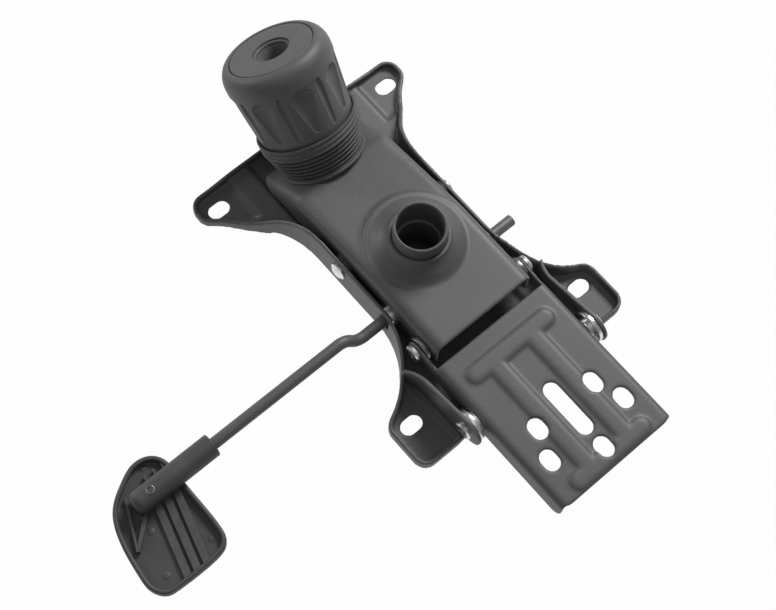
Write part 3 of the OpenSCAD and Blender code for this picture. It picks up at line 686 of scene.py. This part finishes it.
def tension_knob():
    """Moulded knob: a lathe whose side has teardrop scoops with narrow flutes between."""
    under_seam = KNOB_R - SEAM_DEPTH
    rim_z = KNOB_LOW + RIM_R
    well_r = CAP_R + CAP_RING
    well_z = KNOB_TOP - CAP_WELL_DEPTH
    line = [(KNOB_BORE_R, KNOB_ROOM_TOP), (KNOB_ROOM_R, KNOB_ROOM_TOP)]
    line += [(KNOB_ROOM_R, rim_z), (SKIRT_IN_R, rim_z)]
    line += [(SKIRT_IN_R, SKIRT_LOW), (SKIRT_OUT_R, SKIRT_LOW), (SKIRT_OUT_R, KNOB_LOW)]
    line += bend((KNOB_LOW_R - RIM_R, rim_z), RIM_R, RIM_R, -90.0, 0.0, 5)
    line += run((KNOB_LOW_R, KNOB_LOW + 1.6), (under_seam, KNOB_SEAM - SEAM_STEP), 76)
    line += [(under_seam + 0.1, KNOB_SEAM), (KNOB_R - 0.05, KNOB_SEAM + SEAM_STEP)]
    line += bend((KNOB_R - SHOULDER_R, KNOB_TOP - SHOULDER_H), SHOULDER_R, SHOULDER_H, 0.0, 90.0, 22)
    line += [(CAP_R + 0.75, KNOB_TOP - 0.25), (well_r, KNOB_TOP - 0.7), (well_r, well_z)]
    line += [(KNOB_BORE_R + 0.3, well_z), (KNOB_BORE_R, well_z - 0.5)]
    rule = Rule(
        "hollows_rule",
        count=8,
        scoop_low=37.0,
        scoop_high=71.3,
        scoop_half=8.0,
        scoop_depth=3.4,
        flute_low=35.0,
        flute_high=72.0,
        flute_half=2.7,
        flute_depth=1.9,
        turn=0.28,
    )
    x, y, z = rule.place()
    radius = (x * x + y * y) ** 0.5
    angle = y.math("ARCTAN2", y, x)
    on_side = radius.step(28.0, 29.0)

    def hollow(phase, half_width, depth, along, foot_share):
        """Depth of a row of hollows at a point; along runs from 0 at the low end to 1."""
        offset = phase - phase.math("FLOOR", phase + 0.5)
        aside = offset / rule.size("count") * math.tau * radius
        held = along.at_least(0.0001).at_most(0.9999)
        crown = ((held - (1.0 - CROWN_SHARE)) / CROWN_SHARE).at_least(0.0)
        heel = ((HEEL_SHARE - held) / HEEL_SHARE).at_least(0.0)
        taper = foot_share + (1.0 - foot_share) * (held / (1.0 - CROWN_SHARE)).at_most(1.0)
        ends = (1.0 - crown * crown).at_least(0.0001) * (1.0 - heel * heel).at_least(0.0001)
        half = half_width * taper * ends ** 0.5
        bowl = (1.0 - (aside / half) * (aside / half)).at_least(0.0) ** 0.75
        inside = along.math("GREATER_THAN", along, 0.0) * along.math("LESS_THAN", along, 1.0)
        return bowl * depth * inside * (held * 0.7 + 0.3)

    phase = (angle / math.tau) * rule.size("count") + rule.size("turn")
    scoop_along = (z - rule.size("scoop_low")) / (rule.size("scoop_high") - rule.size("scoop_low"))
    flute_along = (z - rule.size("flute_low")) / (rule.size("flute_high") - rule.size("flute_low"))
    scoops = hollow(phase, rule.size("scoop_half"), rule.size("scoop_depth"), scoop_along, 0.27)
    flutes = hollow(phase + 0.5, rule.size("flute_half"), rule.size("flute_depth"), flute_along, 0.62)
    shrunk = radius - scoops.at_least(flutes) * on_side
    place = rule.vector(shrunk * angle.cos(), shrunk * angle.sin(), z)
    moved = rule.node("GeometryNodeSetPosition", inputs={"Geometry": rule.start(), "Position": place})
    piece = rule.grow(moved, finishes["knob_plastic"], "fluted_knob", lathe("fluted_knob", line, around=400))
    on_knob_axis(piece.data)
    smooth(piece, degrees=35.0)
    dress(piece, "tension_knob")


def knob_cap():
    """Flat cap let into the knob's top, with a round hole."""
    low = KNOB_TOP - 3.4
    line = [(CAP_HOLE_R, low), (CAP_R, low), (CAP_R, KNOB_TOP - 0.8)]
    line += bend((CAP_R - 0.7, KNOB_TOP - 0.8), 0.7, 0.7, 10.0, 90.0, 5)
    line += run((CAP_R - 3.0, KNOB_TOP - 0.05), (CAP_SINK_R + 1.0, KNOB_TOP), 4)
    line += bend((CAP_SINK_R + 0.4, KNOB_TOP - 0.4), 0.4, 0.4, 90.0, 180.0, 4)
    line += [(CAP_SINK_R, KNOB_TOP - 1.3), (CAP_HOLE_R + 0.4, KNOB_TOP - 1.4), (CAP_HOLE_R, KNOB_TOP - 1.8)]
    piece = lathe("knob_cap_disc", line, around=160)
    on_knob_axis(piece.data)
    smooth(piece, degrees=40.0)
    dress(piece, "knob_cap")


# ---------------------------------------------------------------- rear lugs

LUG_MIDDLE = 55.25
LUG_T = 2.5
REAR_PIVOT = (111.5, 26.0)
LUG_ROUND_R = 13.0
LUG_FRONT = 56.0
LUG_BEND_Y = 72.0
LUG_BEND_RATE = 0.021
LUG_STRAIGHT_END = 109.0
# Places along the plate and heights of a lug's edges, up to the round end
LUG_TOP = [(LUG_FRONT, 25.0), (LUG_BEND_Y, 29.5), (106.0, 37.8)]
LUG_LOW = [(109.5, 5.5), (114.9, 13.4)]


def lug_edge(y, line, side):
    """Height of a lug's upper or lower edge along the plate."""
    places, heights = zip(*line)
    if y < places[-1]:
        return float(np.interp(y, places, heights))
    ahead = y - REAR_PIVOT[0]
    return REAR_PIVOT[1] + side * math.sqrt(max(LUG_ROUND_R**2 - ahead**2, 0.0))


def rear_lug(node, side):
    """Bent strip that rises from the plate and turns out to its flange at the front."""
    end = REAR_PIVOT[0] + LUG_ROUND_R
    places = list(np.linspace(LUG_FRONT, LUG_STRAIGHT_END, 40))
    places += [end - LUG_ROUND_R * (1.0 - math.sin(a)) for a in np.linspace(0.02, 1.52, 16)]
    points = []
    for y in places:
        middle = LUG_MIDDLE + LUG_BEND_RATE * max(LUG_BEND_Y - y, 0.0) ** 2
        low = lug_edge(y, LUG_LOW, -1.0)
        top = lug_edge(y, LUG_TOP, 1.0)
        for x in (middle - LUG_T / 2, middle + LUG_T / 2):
            points += [(side * x, y, low), (side * x, y, top)]
    faces = [(0, 1, 3, 2), tuple(4 * len(places) - 4 + k for k in (0, 2, 3, 1))]
    for i in range(len(places) - 1):
        a = 4 * i
        b = a + 4
        faces += [(a, b, b + 1, a + 1), (a + 2, a + 3, b + 3, b + 2)]
        faces += [(a + 1, b + 1, b + 3, a + 3), (a, a + 2, b + 2, b)]
    name = node + "_strip"
    piece = in_metres(new_piece(name, outward(mesh_of(name, points, faces))))
    dress(eased_edges(piece, width=0.5, degrees=50.0), node)


# ---------------------------------------------------------------- lever

AXIS_R = 0.05
ROD_R = 4.0
ROD_Y = 21.5
ROD_Z = 23.0
OUTER_Y = 18.0
OUTER_Z = 32.0
CRANK_X = 70.0
CRANK_LEN = 8.0
ROD_END_X = -66.0
SLEEVE_X = 186.0
SLEEVE_END = 248.0
SLEEVE_R = 8.0
SLEEVE_DEPTH = 55.0
MOUTH_DEPTH = 7.0
MOUTH_WIDTH = 2.2
SLEEVE_END_R = 5.5
RIVET_X = 234.0
RIVET_R = 2.45
CRANK_BEND_R = 13.0


def lever_rod():
    """Round rod with a soft double bend."""
    points = [
        (ROD_END_X, ROD_Y, ROD_Z),
        (CRANK_X, ROD_Y, ROD_Z),
        (CRANK_X + CRANK_LEN, OUTER_Y, OUTER_Z),
        (RIVET_X + 6.0, OUTER_Y, OUTER_Z),
    ]
    piece = in_metres(tube("bent_rod", points, finishes["coated_steel"], ROD_R, CRANK_BEND_R))
    outward(piece.data)
    dress(eased_edges(piece, width=0.5, degrees=50.0), "lever_rod")


def lever_sleeve():
    """Plain moulded sleeve with a round closed end."""
    length = SLEEVE_END - SLEEVE_X
    bore_r = ROD_R + 0.2
    mouth_r = ROD_R + MOUTH_WIDTH
    line = [(AXIS_R, SLEEVE_DEPTH), (bore_r, SLEEVE_DEPTH), (bore_r, MOUTH_DEPTH + 2.0)]
    line += [(mouth_r, MOUTH_DEPTH), (mouth_r, 0.4), (ROD_R + 2.5, 0.0), (SLEEVE_R - 0.6, 0.0)]
    line += bend((SLEEVE_R - 0.6, 0.6), 0.6, 0.6, -90.0, 0.0, 4)
    line += run((SLEEVE_R, 1.2), (SLEEVE_R, length - 6.0), 6)
    round_at = (SLEEVE_R - SLEEVE_END_R, length - SLEEVE_END_R)
    line += bend(round_at, SLEEVE_END_R, SLEEVE_END_R, 4.0, 90.0, 10)
    line += [(AXIS_R, length)]
    piece = lathe("grip_sleeve", line, around=72)
    turn = Matrix.Translation((SLEEVE_X, OUTER_Y, OUTER_Z)) @ Matrix.Rotation(math.radians(90.0), 4, "Y")
    piece.data.transform(turn)
    in_metres(piece)
    smooth(piece, degrees=40.0)
    dress(piece, "lever_sleeve")


PADDLE_LOW = 20.0
PADDLE_FLOOR = 21.7
PADDLE_RIM = 25.4
WEB_LOW = PADDLE_LOW + 0.5
WEB_TOP = 25.6
SADDLE_TOP = 27.5
BEAD_Z = 25.2
BEAD_R = 1.7
PIN_R = 1.9
PIN_MARKS = [(227.6, -0.6), (258.0, 62.5), (222.5, 62.0), (248.5, 34.5)]
SLAT_START = (226.9, 47.3)
SADDLE = [(215.0, 12.5), (247.0, 12.5), (247.0, 23.5), (215.0, 23.5)]
FLOOR_GAP = [(243.0, 17.5), (247.5, 21.5), (243.2, 23.0)]
PADDLE_OUTLINE = [
    (213.6, 58.0),
    (213.4, 26.0),
    (213.2, 8.0),
    (217.0, -1.0),
    (224.5, -5.6),
    (234.0, -5.6),
    (245.0, -0.5),
    (256.0, 7.0),
    (263.0, 16.5),
    (268.0, 31.0),
    (271.0, 50.0),
    (271.4, 63.0),
    (266.0, 72.0),
    (256.0, 74.5),
    (228.0, 74.5),
    (217.0, 70.0),
]


def rounded(outline, steps):
    """A closed curve through the corners of an outline."""
    knots = np.array(outline)
    before = np.roll(knots, 1, axis=0)
    after = np.roll(knots, -1, axis=0)
    beyond = np.roll(knots, -2, axis=0)
    square = 2 * before - 5 * knots + 4 * after - beyond
    cube = 3 * knots - before - 3 * after + beyond
    rows = []
    for t in np.linspace(0.0, 1.0, steps, endpoint=False):
        rows.append(0.5 * (2 * knots + (after - before) * t + square * t**2 + cube * t**3))
    return np.stack(rows, axis=1).reshape(-1, 2)


def inset(curve, distance):
    """A closed curve moved inwards."""
    along = np.roll(curve, -1, axis=0) - np.roll(curve, 1, axis=0)
    along /= np.linalg.norm(along, axis=1)[:, None]
    normal = np.stack([along[:, 1], -along[:, 0]], axis=1)
    middle = curve.mean(axis=0)
    inwards = np.sign(((middle - curve) * normal).sum())
    return curve + inwards * distance * normal


def wall_between(name, start, stop, width, low, high):
    """Straight upright web between two places of the plan."""
    start = np.array(start)
    stop = np.array(stop)
    ahead = (stop - start) / np.linalg.norm(stop - start)
    aside = np.array([-ahead[1], ahead[0]]) * width / 2
    corners = [start - aside, stop - aside, stop + aside, start + aside]
    return prism(name, as_outline(corners), low, high)


def slats():
    """Broad slats across the thumb side."""
    lean = math.radians(-15.6)
    rule = Rule("slat_rule", count=3, pitch=7.0, width=5.1, length=60.0, rise=2.7, lean=lean)
    pitch = rule.size("pitch")
    places = rule.node(
        "GeometryNodeMeshLine",
        inputs={
            "Count": rule.size("count"),
            "Start Location": rule.vector(*SLAT_START, PADDLE_FLOOR + rule.size("rise") * 0.5 - 0.4),
            "Offset": rule.vector(pitch * math.cos(lean), pitch * math.sin(lean), 0.0),
        },
    )
    bar = rule.node(
        "GeometryNodeMeshCube",
        inputs={"Size": rule.vector(rule.size("width"), rule.size("length"), rule.size("rise") + 0.8)},
    )
    row = rule.node(
        "GeometryNodeInstanceOnPoints",
        inputs={"Points": places, "Instance": bar, "Rotation": rule.vector(0.0, 0.0, rule.size("lean"))},
    )
    return rule.grow(row, finishes["lever_plastic"], "slat_row")


def cut_by(piece, kind, other):
    """Keeps what a piece shares with another one, or what lies outside it."""
    knife = piece.modifiers.new("Cut", "BOOLEAN")
    knife.operation = kind
    knife.solver = "EXACT"
    knife.object = other
    plain(piece)
    bpy.data.objects.remove(other)
    return piece


def lever_paddle():
    """Thumb paddle: floor, rim bead, slats, webs and pin marks in one moulding."""
    above = PADDLE_RIM + 5.0
    edge = rounded(PADDLE_OUTLINE, 8)
    floor = prism("floor_slab", as_outline(edge), PADDLE_LOW, PADDLE_FLOOR)
    cut_by(floor, "DIFFERENCE", prism("gap", FLOOR_GAP, PADDLE_LOW - 2.0, PADDLE_FLOOR + 2.0))
    rim = prism("rim_wall", as_outline(inset(edge, 0.3)), WEB_LOW, PADDLE_RIM)
    cut_by(rim, "DIFFERENCE", prism("rim_room", as_outline(inset(edge, 2.6)), PADDLE_LOW - 1.0, above))
    bead_line = [(x, y, BEAD_Z) for x, y in inset(edge, BEAD_R)]
    bead = tube("bead", bead_line, finishes["lever_plastic"], BEAD_R, closed=True)
    slat_room = prism("slat_room", as_outline(inset(edge, 2.4)), PADDLE_FLOOR - 0.7, above)
    parts = [floor, rim, bead]
    webs = [cut_by(slats(), "INTERSECT", slat_room)]
    webs.append(wall_between("brace", (243.5, 24.0), (262.6, 40.5), 2.8, WEB_LOW, PADDLE_RIM))
    webs.append(wall_between("fin", (247.5, 8.0), (262.6, 40.5), 1.8, WEB_LOW, WEB_TOP))
    for x in (219.6, 226.9, 234.2):
        webs.append(wall_between("line", (x + 4.0, 27.0), (x + 15.0, 66.5), 0.8, WEB_LOW, PADDLE_FLOOR + 1.3))
    parts.append(prism("saddle", SADDLE, WEB_LOW, SADDLE_TOP))
    for x in (218.5, 225.0, 232.0):
        webs.append(wall_between("web", (x, 14.0), (x - 1.5, 4.5), 1.6, WEB_LOW, WEB_TOP))
    turn = np.linspace(0.0, math.tau, 24, endpoint=False)
    for x, y in PIN_MARKS:
        ring = [(x + PIN_R * math.cos(a), y + PIN_R * math.sin(a)) for a in turn]
        parts.append(prism("pin_mark", ring, WEB_LOW, PADDLE_FLOOR + 0.5))
    body = soften(in_metres(joined("paddle_body", parts)), cell=0.4, rounds=4)
    inside = eased_edges(in_metres(joined("paddle_webs", webs)), width=0.4, steps=1)
    piece = joined("thumb_paddle", [body, inside])
    dress(smooth(piece, degrees=40.0), "lever_paddle")


def sleeve_rivet():
    """Hollow rivet head, let into the sleeve."""
    top = OUTER_Z + SLEEVE_R + 0.5
    line = [(AXIS_R, PADDLE_LOW), (RIVET_R, PADDLE_LOW), (RIVET_R, top - 1.6), (2.9, top - 1.6)]
    line += bend((2.6, top - 0.7), 0.4, 0.5, 0.0, 90.0, 5)
    line += bend((2.3, top - 0.8), 0.4, 0.6, 90.0, 180.0, 5)
    line += [(1.7, top - 2.6), (AXIS_R, top - 2.9)]
    piece = lathe("hollow_rivet", line, around=40)
    piece.data.transform(Matrix.Translation((RIVET_X, OUTER_Y, 0.0)))
    in_metres(piece)
    smooth(piece, degrees=40.0)
    dress(piece, "sleeve_rivet", "spring_steel")


# ---------------------------------------------------------------- seat plate

BAND_OUT = 55.5
BAND_LIFT = 3.0
PAD_REAR = -98.0
LAND_REAR = -40.0
PAD_RAMP = 4.5
PAD_STRETCH = 6.0
EAR_IN = 54.0
EAR_RAMP = 18.0
EAR_RIM_SHARE = 0.72
EAR_FADE = 20.0
PAD_ASIDE = (42.0, 66.0)
PAD_FRONT = (-113.0, -98.0)
PAD_FADE = (15.0, 95.0)
FLOOR_FACING = 0.1
SHEET_T = 2.5
SLOT_HALF = (7.9, 5.3)
SEAT_SLOTS = [(x, y) for x in (-75.0, 75.0) for y in (-117.5, 82.5)]


def stadium(x, y, half_x, half_y):
    """Outline of a long round-ended hole."""
    r = min(half_x, half_y)
    points = []
    for a in np.linspace(0.0, math.tau, 40, endpoint=False):
        ahead = (half_x - r) * np.sign(math.cos(a))
        aside = (half_y - r) * np.sign(math.sin(a))
        points.append((x + ahead + r * math.cos(a), y + aside + r * math.sin(a)))
    return points


def smooth_share(values, low, high):
    """0 below a range, 1 above it, with a soft rise between."""
    share = np.clip((values - low) / (high - low), 0.0, 1.0)
    return share * share * (3.0 - 2.0 * share)


def raise_lands(piece):
    """Lengthens the front pads, lifts the plate behind them to its bands and lowers the ears' rims."""
    points = points_of(piece.data)
    facing = points_of(piece.data, "normal")[:, 2]
    aside = np.abs(points[:, 0]) / MM
    along = points[:, 1] / MM
    height = points[:, 2] / MM
    shift = PAD_STRETCH * smooth_share(aside, *PAD_ASIDE)
    shift = shift * smooth_share(along, *PAD_FRONT) * smooth_share(-along, *PAD_FADE)
    points[:, 1] += shift * MM
    along = points[:, 1] / MM
    ramp = smooth_share(along, PAD_REAR, PAD_REAR + PAD_RAMP)
    level = SHEET_T + BAND_LIFT * ramp
    lifted = (facing > FLOOR_FACING) & (aside > BAND_OUT) & (along < LAND_REAR) & (height < level)
    height = np.where(lifted, level, height)
    on_ear = np.clip((aside - EAR_IN) / EAR_RAMP, 0.0, 1.0)
    on_ear *= 1.0 - smooth_share(along, LAND_REAR - EAR_FADE, LAND_REAR)
    trimmed = level + (height - level) * (1.0 - (1.0 - EAR_RIM_SHARE) * on_ear)
    points[:, 2] = np.where(height > level, trimmed, height) * MM
    move_points(piece.data, points)


def seat_plate():
    """Pressed tray with long front pads and wide bolt slots."""
    piece = merged_copy("seat_plate", "pressed_tray")
    for x, y in SEAT_SLOTS:
        cut_by(piece, "DIFFERENCE", in_metres(prism("slot", stadium(x, y, *SLOT_HALF), -5.0, 9.0)))
    soften(piece, cell=0.97, rounds=6)
    raise_lands(piece)
    dress(piece, "seat_plate")


# ---------------------------------------------------------------- back bracket

BRACKET_Z = 37.0
BRACKET_HALF = 47.5
BRACKET_T = 2.5
BRACKET_REAR = 192.0
BRACKET_LOW = 16.0
FLANGE_FRONT = 150.0
FLANGE_REAR = 190.5
FLANGE_TOP = BRACKET_Z - 4.0
FLANGE_CORNER_R = 7.0
FOLD_R = 5.0
FOLD_WIDTH = 9.0
FOLD_FRONT = 172.0
OVAL_HALF = (5.5, 7.5)
INNER_OVAL = (24.0, 142.5)
REAR_OVAL_Y = 178.0
HOLE_LOW = 20.0
HOLE_HIGH = 50.0
RIB_R = 6.8
RIB_FLAT = 0.34
RIB_TOP = 1.95
RAIL_X = 16.0
RIB_FRONT = 90.5
RIB_REAR = 184.0
FRONT_BAR_HALF = 30.0
REAR_BAR_HALF = 27.0


def wide_rib(start, stop):
    """Low, broad pressed rib with round ends on the bracket's face."""
    points = [(*start, 0.0), (*stop, 0.0)]
    parts = [tube("rib", points, finishes["coated_steel"], RIB_R)]
    for end in (start, stop):
        ball = bmesh.new()
        bmesh.ops.create_uvsphere(ball, u_segments=32, v_segments=16, radius=RIB_R)
        mesh = bpy.data.meshes.new("rib_end")
        ball.to_mesh(mesh)
        ball.free()
        mesh.transform(Matrix.Translation((*end, 0.0)))
        parts.append(new_piece("rib_end", mesh))
    rib = joined("rib", parts)
    rib.data.transform(Matrix.Diagonal((1.0, 1.0, RIB_FLAT, 1.0)))
    for vertex in rib.data.vertices:
        vertex.co.z = BRACKET_Z + min(vertex.co.z, RIB_TOP)
    return in_metres(rib)


def side_wall(side):
    """Rear end of the bracket's side flange, with a round lower corner."""
    corner = (FLANGE_REAR - FLANGE_CORNER_R, BRACKET_LOW + FLANGE_CORNER_R)
    outline = [(FLANGE_FRONT, FLANGE_TOP), (FLANGE_FRONT, BRACKET_LOW)]
    outline += bend(corner, FLANGE_CORNER_R, FLANGE_CORNER_R, -90.0, 0.0, 10)
    outline += [(FLANGE_REAR, FLANGE_TOP)]
    low, high = sorted((side * BRACKET_HALF, side * (BRACKET_HALF - BRACKET_T)))
    wall = prism("flange", outline, low, high)
    return turned(wall, (0.0, 1.0, 0.0), (0.0, 0.0, 1.0), (1.0, 0.0, 0.0))


def folded_edge(side):
    """Rear end of the fold between the bracket's face and its side flange."""
    middle = (BRACKET_HALF - FOLD_R, BRACKET_Z - FOLD_R)
    inner_r = FOLD_R - BRACKET_T
    inner_x = BRACKET_HALF - FOLD_WIDTH
    outline = [(inner_x, BRACKET_Z - BRACKET_T), (inner_x, BRACKET_Z)]
    outline += bend(middle, FOLD_R, FOLD_R, 90.0, 0.0, 9)
    outline += bend(middle, inner_r, inner_r, 0.0, 90.0, 7)
    fold = prism("fold", outline, FOLD_FRONT, FLANGE_REAR)
    return turned(fold, (side, 0.0, 0.0), (0.0, 0.0, 1.0), (0.0, 1.0, 0.0))


def with_oval(rib, x, y):
    """Keeps one of the bracket's ovals open through a rib."""
    hole = prism("hole", stadium(x, y, *OVAL_HALF), HOLE_LOW, HOLE_HIGH)
    return cut_by(rib, "DIFFERENCE", in_metres(hole))


def back_bracket():
    """Pressed channel with an H of broad ribs."""
    channel = merged_copy("back_bracket", "channel")
    wide = BRACKET_HALF + 20.0
    front = 60.0
    rear = BRACKET_REAR + 9.0
    plan = [(-wide, front), (wide, front), (wide, rear), (-wide, rear)]
    over = prism("over", plan, BRACKET_Z + RIB_TOP, BRACKET_Z + 20.0)
    parts = [cut_by(channel, "DIFFERENCE", in_metres(over))]
    for side in (-1.0, 1.0):
        rail = wide_rib((side * RAIL_X, RIB_FRONT), (side * RAIL_X, RIB_REAR))
        parts.append(with_oval(rail, side * INNER_OVAL[0], INNER_OVAL[1]))
        parts.append(side_wall(side))
        parts.append(folded_edge(side))
    parts.append(wide_rib((-FRONT_BAR_HALF, RIB_FRONT), (FRONT_BAR_HALF, RIB_FRONT)))
    rear_bar = wide_rib((-REAR_BAR_HALF, RIB_REAR), (REAR_BAR_HALF, RIB_REAR))
    parts.append(with_oval(rear_bar, 0.0, REAR_OVAL_Y))
    dress(soften(joined("pressed_channel", parts), cell=0.85, rounds=9), "back_bracket")


# ---------------------------------------------------------------- housing

FOLD_Y = -75.0
FOLD_REACH = 24.0
FOLD_ROUNDS = 60
HOUSING_Z = 45.0
BOSS_LIFT = 3.2
BOSS_EDGE = (25.5, 33.5)
BOSS_RISE = (HOUSING_Z - 7.0, HOUSING_Z - 3.5)
BOSS_FADE = (HOUSING_Z + 3.0, HOUSING_Z + 16.0)


def raise_boss(piece):
    """Lifts the round platform under the neck."""
    points = points_of(piece.data)
    away = np.hypot(points[:, 0], points[:, 1]) / MM
    height = points[:, 2] / MM
    share = 1.0 - smooth_share(away, *BOSS_EDGE)
    share *= smooth_share(height, *BOSS_RISE) * (1.0 - smooth_share(height, *BOSS_FADE))
    points[:, 2] += BOSS_LIFT * share * MM
    move_points(piece.data, points)


def housing():
    """Pressed cover whose nose turns into its top without a crease."""
    piece = soften(merged_copy("housing", "pressed_cover"), cell=0.85, rounds=10)
    fold = piece.vertex_groups.new(name="fold")
    for vertex in piece.data.vertices:
        share = 1.0 - abs(vertex.co.y / MM - FOLD_Y) / FOLD_REACH
        if share > 0.0:
            fold.add([vertex.index], min(2.0 * share, 1.0), "REPLACE")
    ease = piece.modifiers.new("Fold", "SMOOTH")
    ease.factor = 0.5
    ease.iterations = FOLD_ROUNDS
    ease.vertex_group = "fold"
    plain(piece)
    piece.vertex_groups.clear()
    raise_boss(piece)
    dress(piece, "housing")


# ---------------------------------------------------------------- spacers

PIVOT_BORE = 4.1
SPACER_IN = 47.8
SPACER_OUT = 53.9
COLLAR_R = 8.0
WASHER_IN = 50.4
WASHER_FLAT_R = 11.4
WASHER_EDGE_R = 0.6


def rear_spacers():
    """Wide washers against the lugs on narrow collars at the bracket's flanges."""
    edge_r = WASHER_EDGE_R
    line = [(PIVOT_BORE, SPACER_IN), (COLLAR_R, SPACER_IN), (COLLAR_R, WASHER_IN), (WASHER_FLAT_R, WASHER_IN)]
    line += bend((WASHER_FLAT_R, WASHER_IN + edge_r), edge_r, edge_r, -90.0, 0.0, 4)
    line += bend((WASHER_FLAT_R, SPACER_OUT - edge_r), edge_r, edge_r, 0.0, 90.0, 4)
    line += [(PIVOT_BORE, SPACER_OUT)]
    parts = []
    for side in (-1.0, 1.0):
        ring = lathe("washer", line, around=96)
        sideways = Matrix.Rotation(side * math.pi / 2, 4, "Y")
        ring.data.transform(Matrix.Translation((0.0, *REAR_PIVOT)) @ sideways)
        parts.append(ring)
    dress(smooth(in_metres(joined("stepped_washers", parts)), 40.0), "rear_pivot_spacers")


# ---------------------------------------------------------------- the object

seat_plate()
back_bracket()
housing()
dress(eased_edges(merged_copy("socket_tube", "socket_tube_eased"), width=0.6), "socket_tube")
rear_lug("right_rear_lug", 1.0)
rear_lug("left_rear_lug", -1.0)
rear_spacers()
front_spacers = eased_edges(merged_copy("front_pivot_spacers", "dull_spacers"), width=0.5)
dress(front_spacers, "front_pivot_spacers", "spring_steel")
tension_knob()
knob_cap()
bellows()
tension_spring()
lever_rod()
lever_sleeve()
lever_paddle()
sleeve_rivet()

for node, shown in frame["nodes"].items():
    shown.data.materials.clear()
    shown.data.materials.append(finishes[slot_of[node]])


# ---------------------------------------------------------------- camera, light and floor

PHOTO_WIDTH = 776
FOCAL_PIXELS = 1600.0
CAMERA_AZIMUTH = math.radians(133.3)
CAMERA_ELEVATION = math.radians(68.48)
CAMERA_ROLL = math.radians(6.36)
CAMERA_SHIFT = Vector((18.04, 24.98, -1083.77))
LIGHT_MIDDLE = Vector((0.05, 0.01, 0.03))
WHITE = (1.0, 1.0, 1.0, 1.0)
FLOOR_GREY = (0.45, 0.45, 0.45, 1.0)
FLOOR_HALF = 3.0
FLOOR_Z = -0.001
FLOOR_GLOW = 0.98
SKY_LIGHT = 0.25


def camera_axes():
    """Right, up and back of the photograph's camera."""
    flat = math.cos(CAMERA_ELEVATION)
    back = Vector((
        math.sin(CAMERA_AZIMUTH) * flat, -math.cos(CAMERA_AZIMUTH) * flat, math.sin(CAMERA_ELEVATION)
    ))
    level = Vector((0.0, 0.0, 1.0)).cross(back).normalized()
    upright = back.cross(level)
    turn_cos = math.cos(CAMERA_ROLL)
    turn_sin = math.sin(CAMERA_ROLL)
    return turn_cos * level + turn_sin * upright, turn_cos * upright - turn_sin * level, back


RIGHT, UP, BACK = camera_axes()


def add_camera():
    data = bpy.data.cameras.new("camera")
    data.sensor_fit = "HORIZONTAL"
    data.sensor_width = 36.0
    data.lens = data.sensor_width * FOCAL_PIXELS / PHOTO_WIDTH
    data.clip_start = 0.05
    data.clip_end = 20.0
    camera = bpy.data.objects.new("camera", data)
    spin = Matrix((RIGHT, UP, BACK)).transposed()
    spot = spin @ -CAMERA_SHIFT
    camera.matrix_world = Matrix.Translation(spot * MM) @ spin.to_4x4()
    scene.collection.objects.link(camera)
    scene.camera = camera


def add_lamp(name, right, up, back, size, power):
    """A square soft lamp, placed along the camera's axes and turned to the middle."""
    data = bpy.data.lights.new(name, "AREA")
    data.shape = "SQUARE"
    data.size = size
    data.energy = power
    lamp = bpy.data.objects.new(name, data)
    spot = LIGHT_MIDDLE + RIGHT * right + UP * up + BACK * back
    lamp.location = spot
    lamp.rotation_euler = (spot - LIGHT_MIDDLE).to_track_quat("Z", "Y").to_euler()
    scene.collection.objects.link(lamp)


def seen_plainly(graph):
    """1 for rays that look straight at the backdrop, or see it mirrored."""
    path = graph.node("ShaderNodeLightPath")
    outputs = path.socket.node.outputs
    camera = Wire(graph, outputs["Is Camera Ray"])
    mirrored = Wire(graph, outputs["Is Glossy Ray"])
    through = Wire(graph, outputs["Is Transmission Ray"])
    return camera.at_least(mirrored.at_least(through))


def add_floor():
    plan = [(-1.0, -1.0), (1.0, -1.0), (1.0, 1.0), (-1.0, 1.0)]
    corners = [(x * FLOOR_HALF, y * FLOOR_HALF, FLOOR_Z) for x, y in plan]
    mesh = mesh_of("floor", corners, [(0, 1, 2, 3)])
    floor = new_piece("floor", mesh)
    finish = Finish("floor")
    finish.set(Base_Color=FLOOR_GREY, Roughness=0.9)
    glow = finish.node("ShaderNodeEmission", inputs={"Color": WHITE, "Strength": 1.0})
    shaded = Wire(finish, finish.shader.outputs[0])
    shown = finish.node(
        "ShaderNodeMixShader", inputs={0: seen_plainly(finish) * FLOOR_GLOW, 1: shaded, 2: glow}
    )
    surface = finish.tree.nodes["Material Output"].inputs["Surface"]
    finish.tree.links.new(shown.socket, surface)
    mesh.materials.append(finish.material)


def add_world():
    world = bpy.data.worlds.new("studio")
    world.use_nodes = True
    scene.world = world
    graph = Graph(world.node_tree)
    world.node_tree.nodes.clear()
    plain_white = graph.node("ShaderNodeBackground", inputs={"Color": WHITE, "Strength": 1.0})
    soft_light = graph.node("ShaderNodeBackground", inputs={"Color": WHITE, "Strength": SKY_LIGHT})
    path = graph.node("ShaderNodeLightPath")
    shown = graph.node("ShaderNodeMixShader", inputs={0: path, 1: soft_light, 2: plain_white})
    output = world.node_tree.nodes.new("ShaderNodeOutputWorld")
    world.node_tree.links.new(shown.socket, output.inputs["Surface"])


add_camera()
add_lamp("key_lamp", right=0.6, up=1.3, back=0.62, size=0.55, power=22.0)
add_lamp("left_lamp", right=-1.35, up=0.8, back=0.3, size=0.5, power=6.0)
add_lamp("fill_lamp", right=0.2, up=0.2, back=1.6, size=1.0, power=2.0)
add_floor()
add_world()
scene.view_settings.view_transform = "Standard"
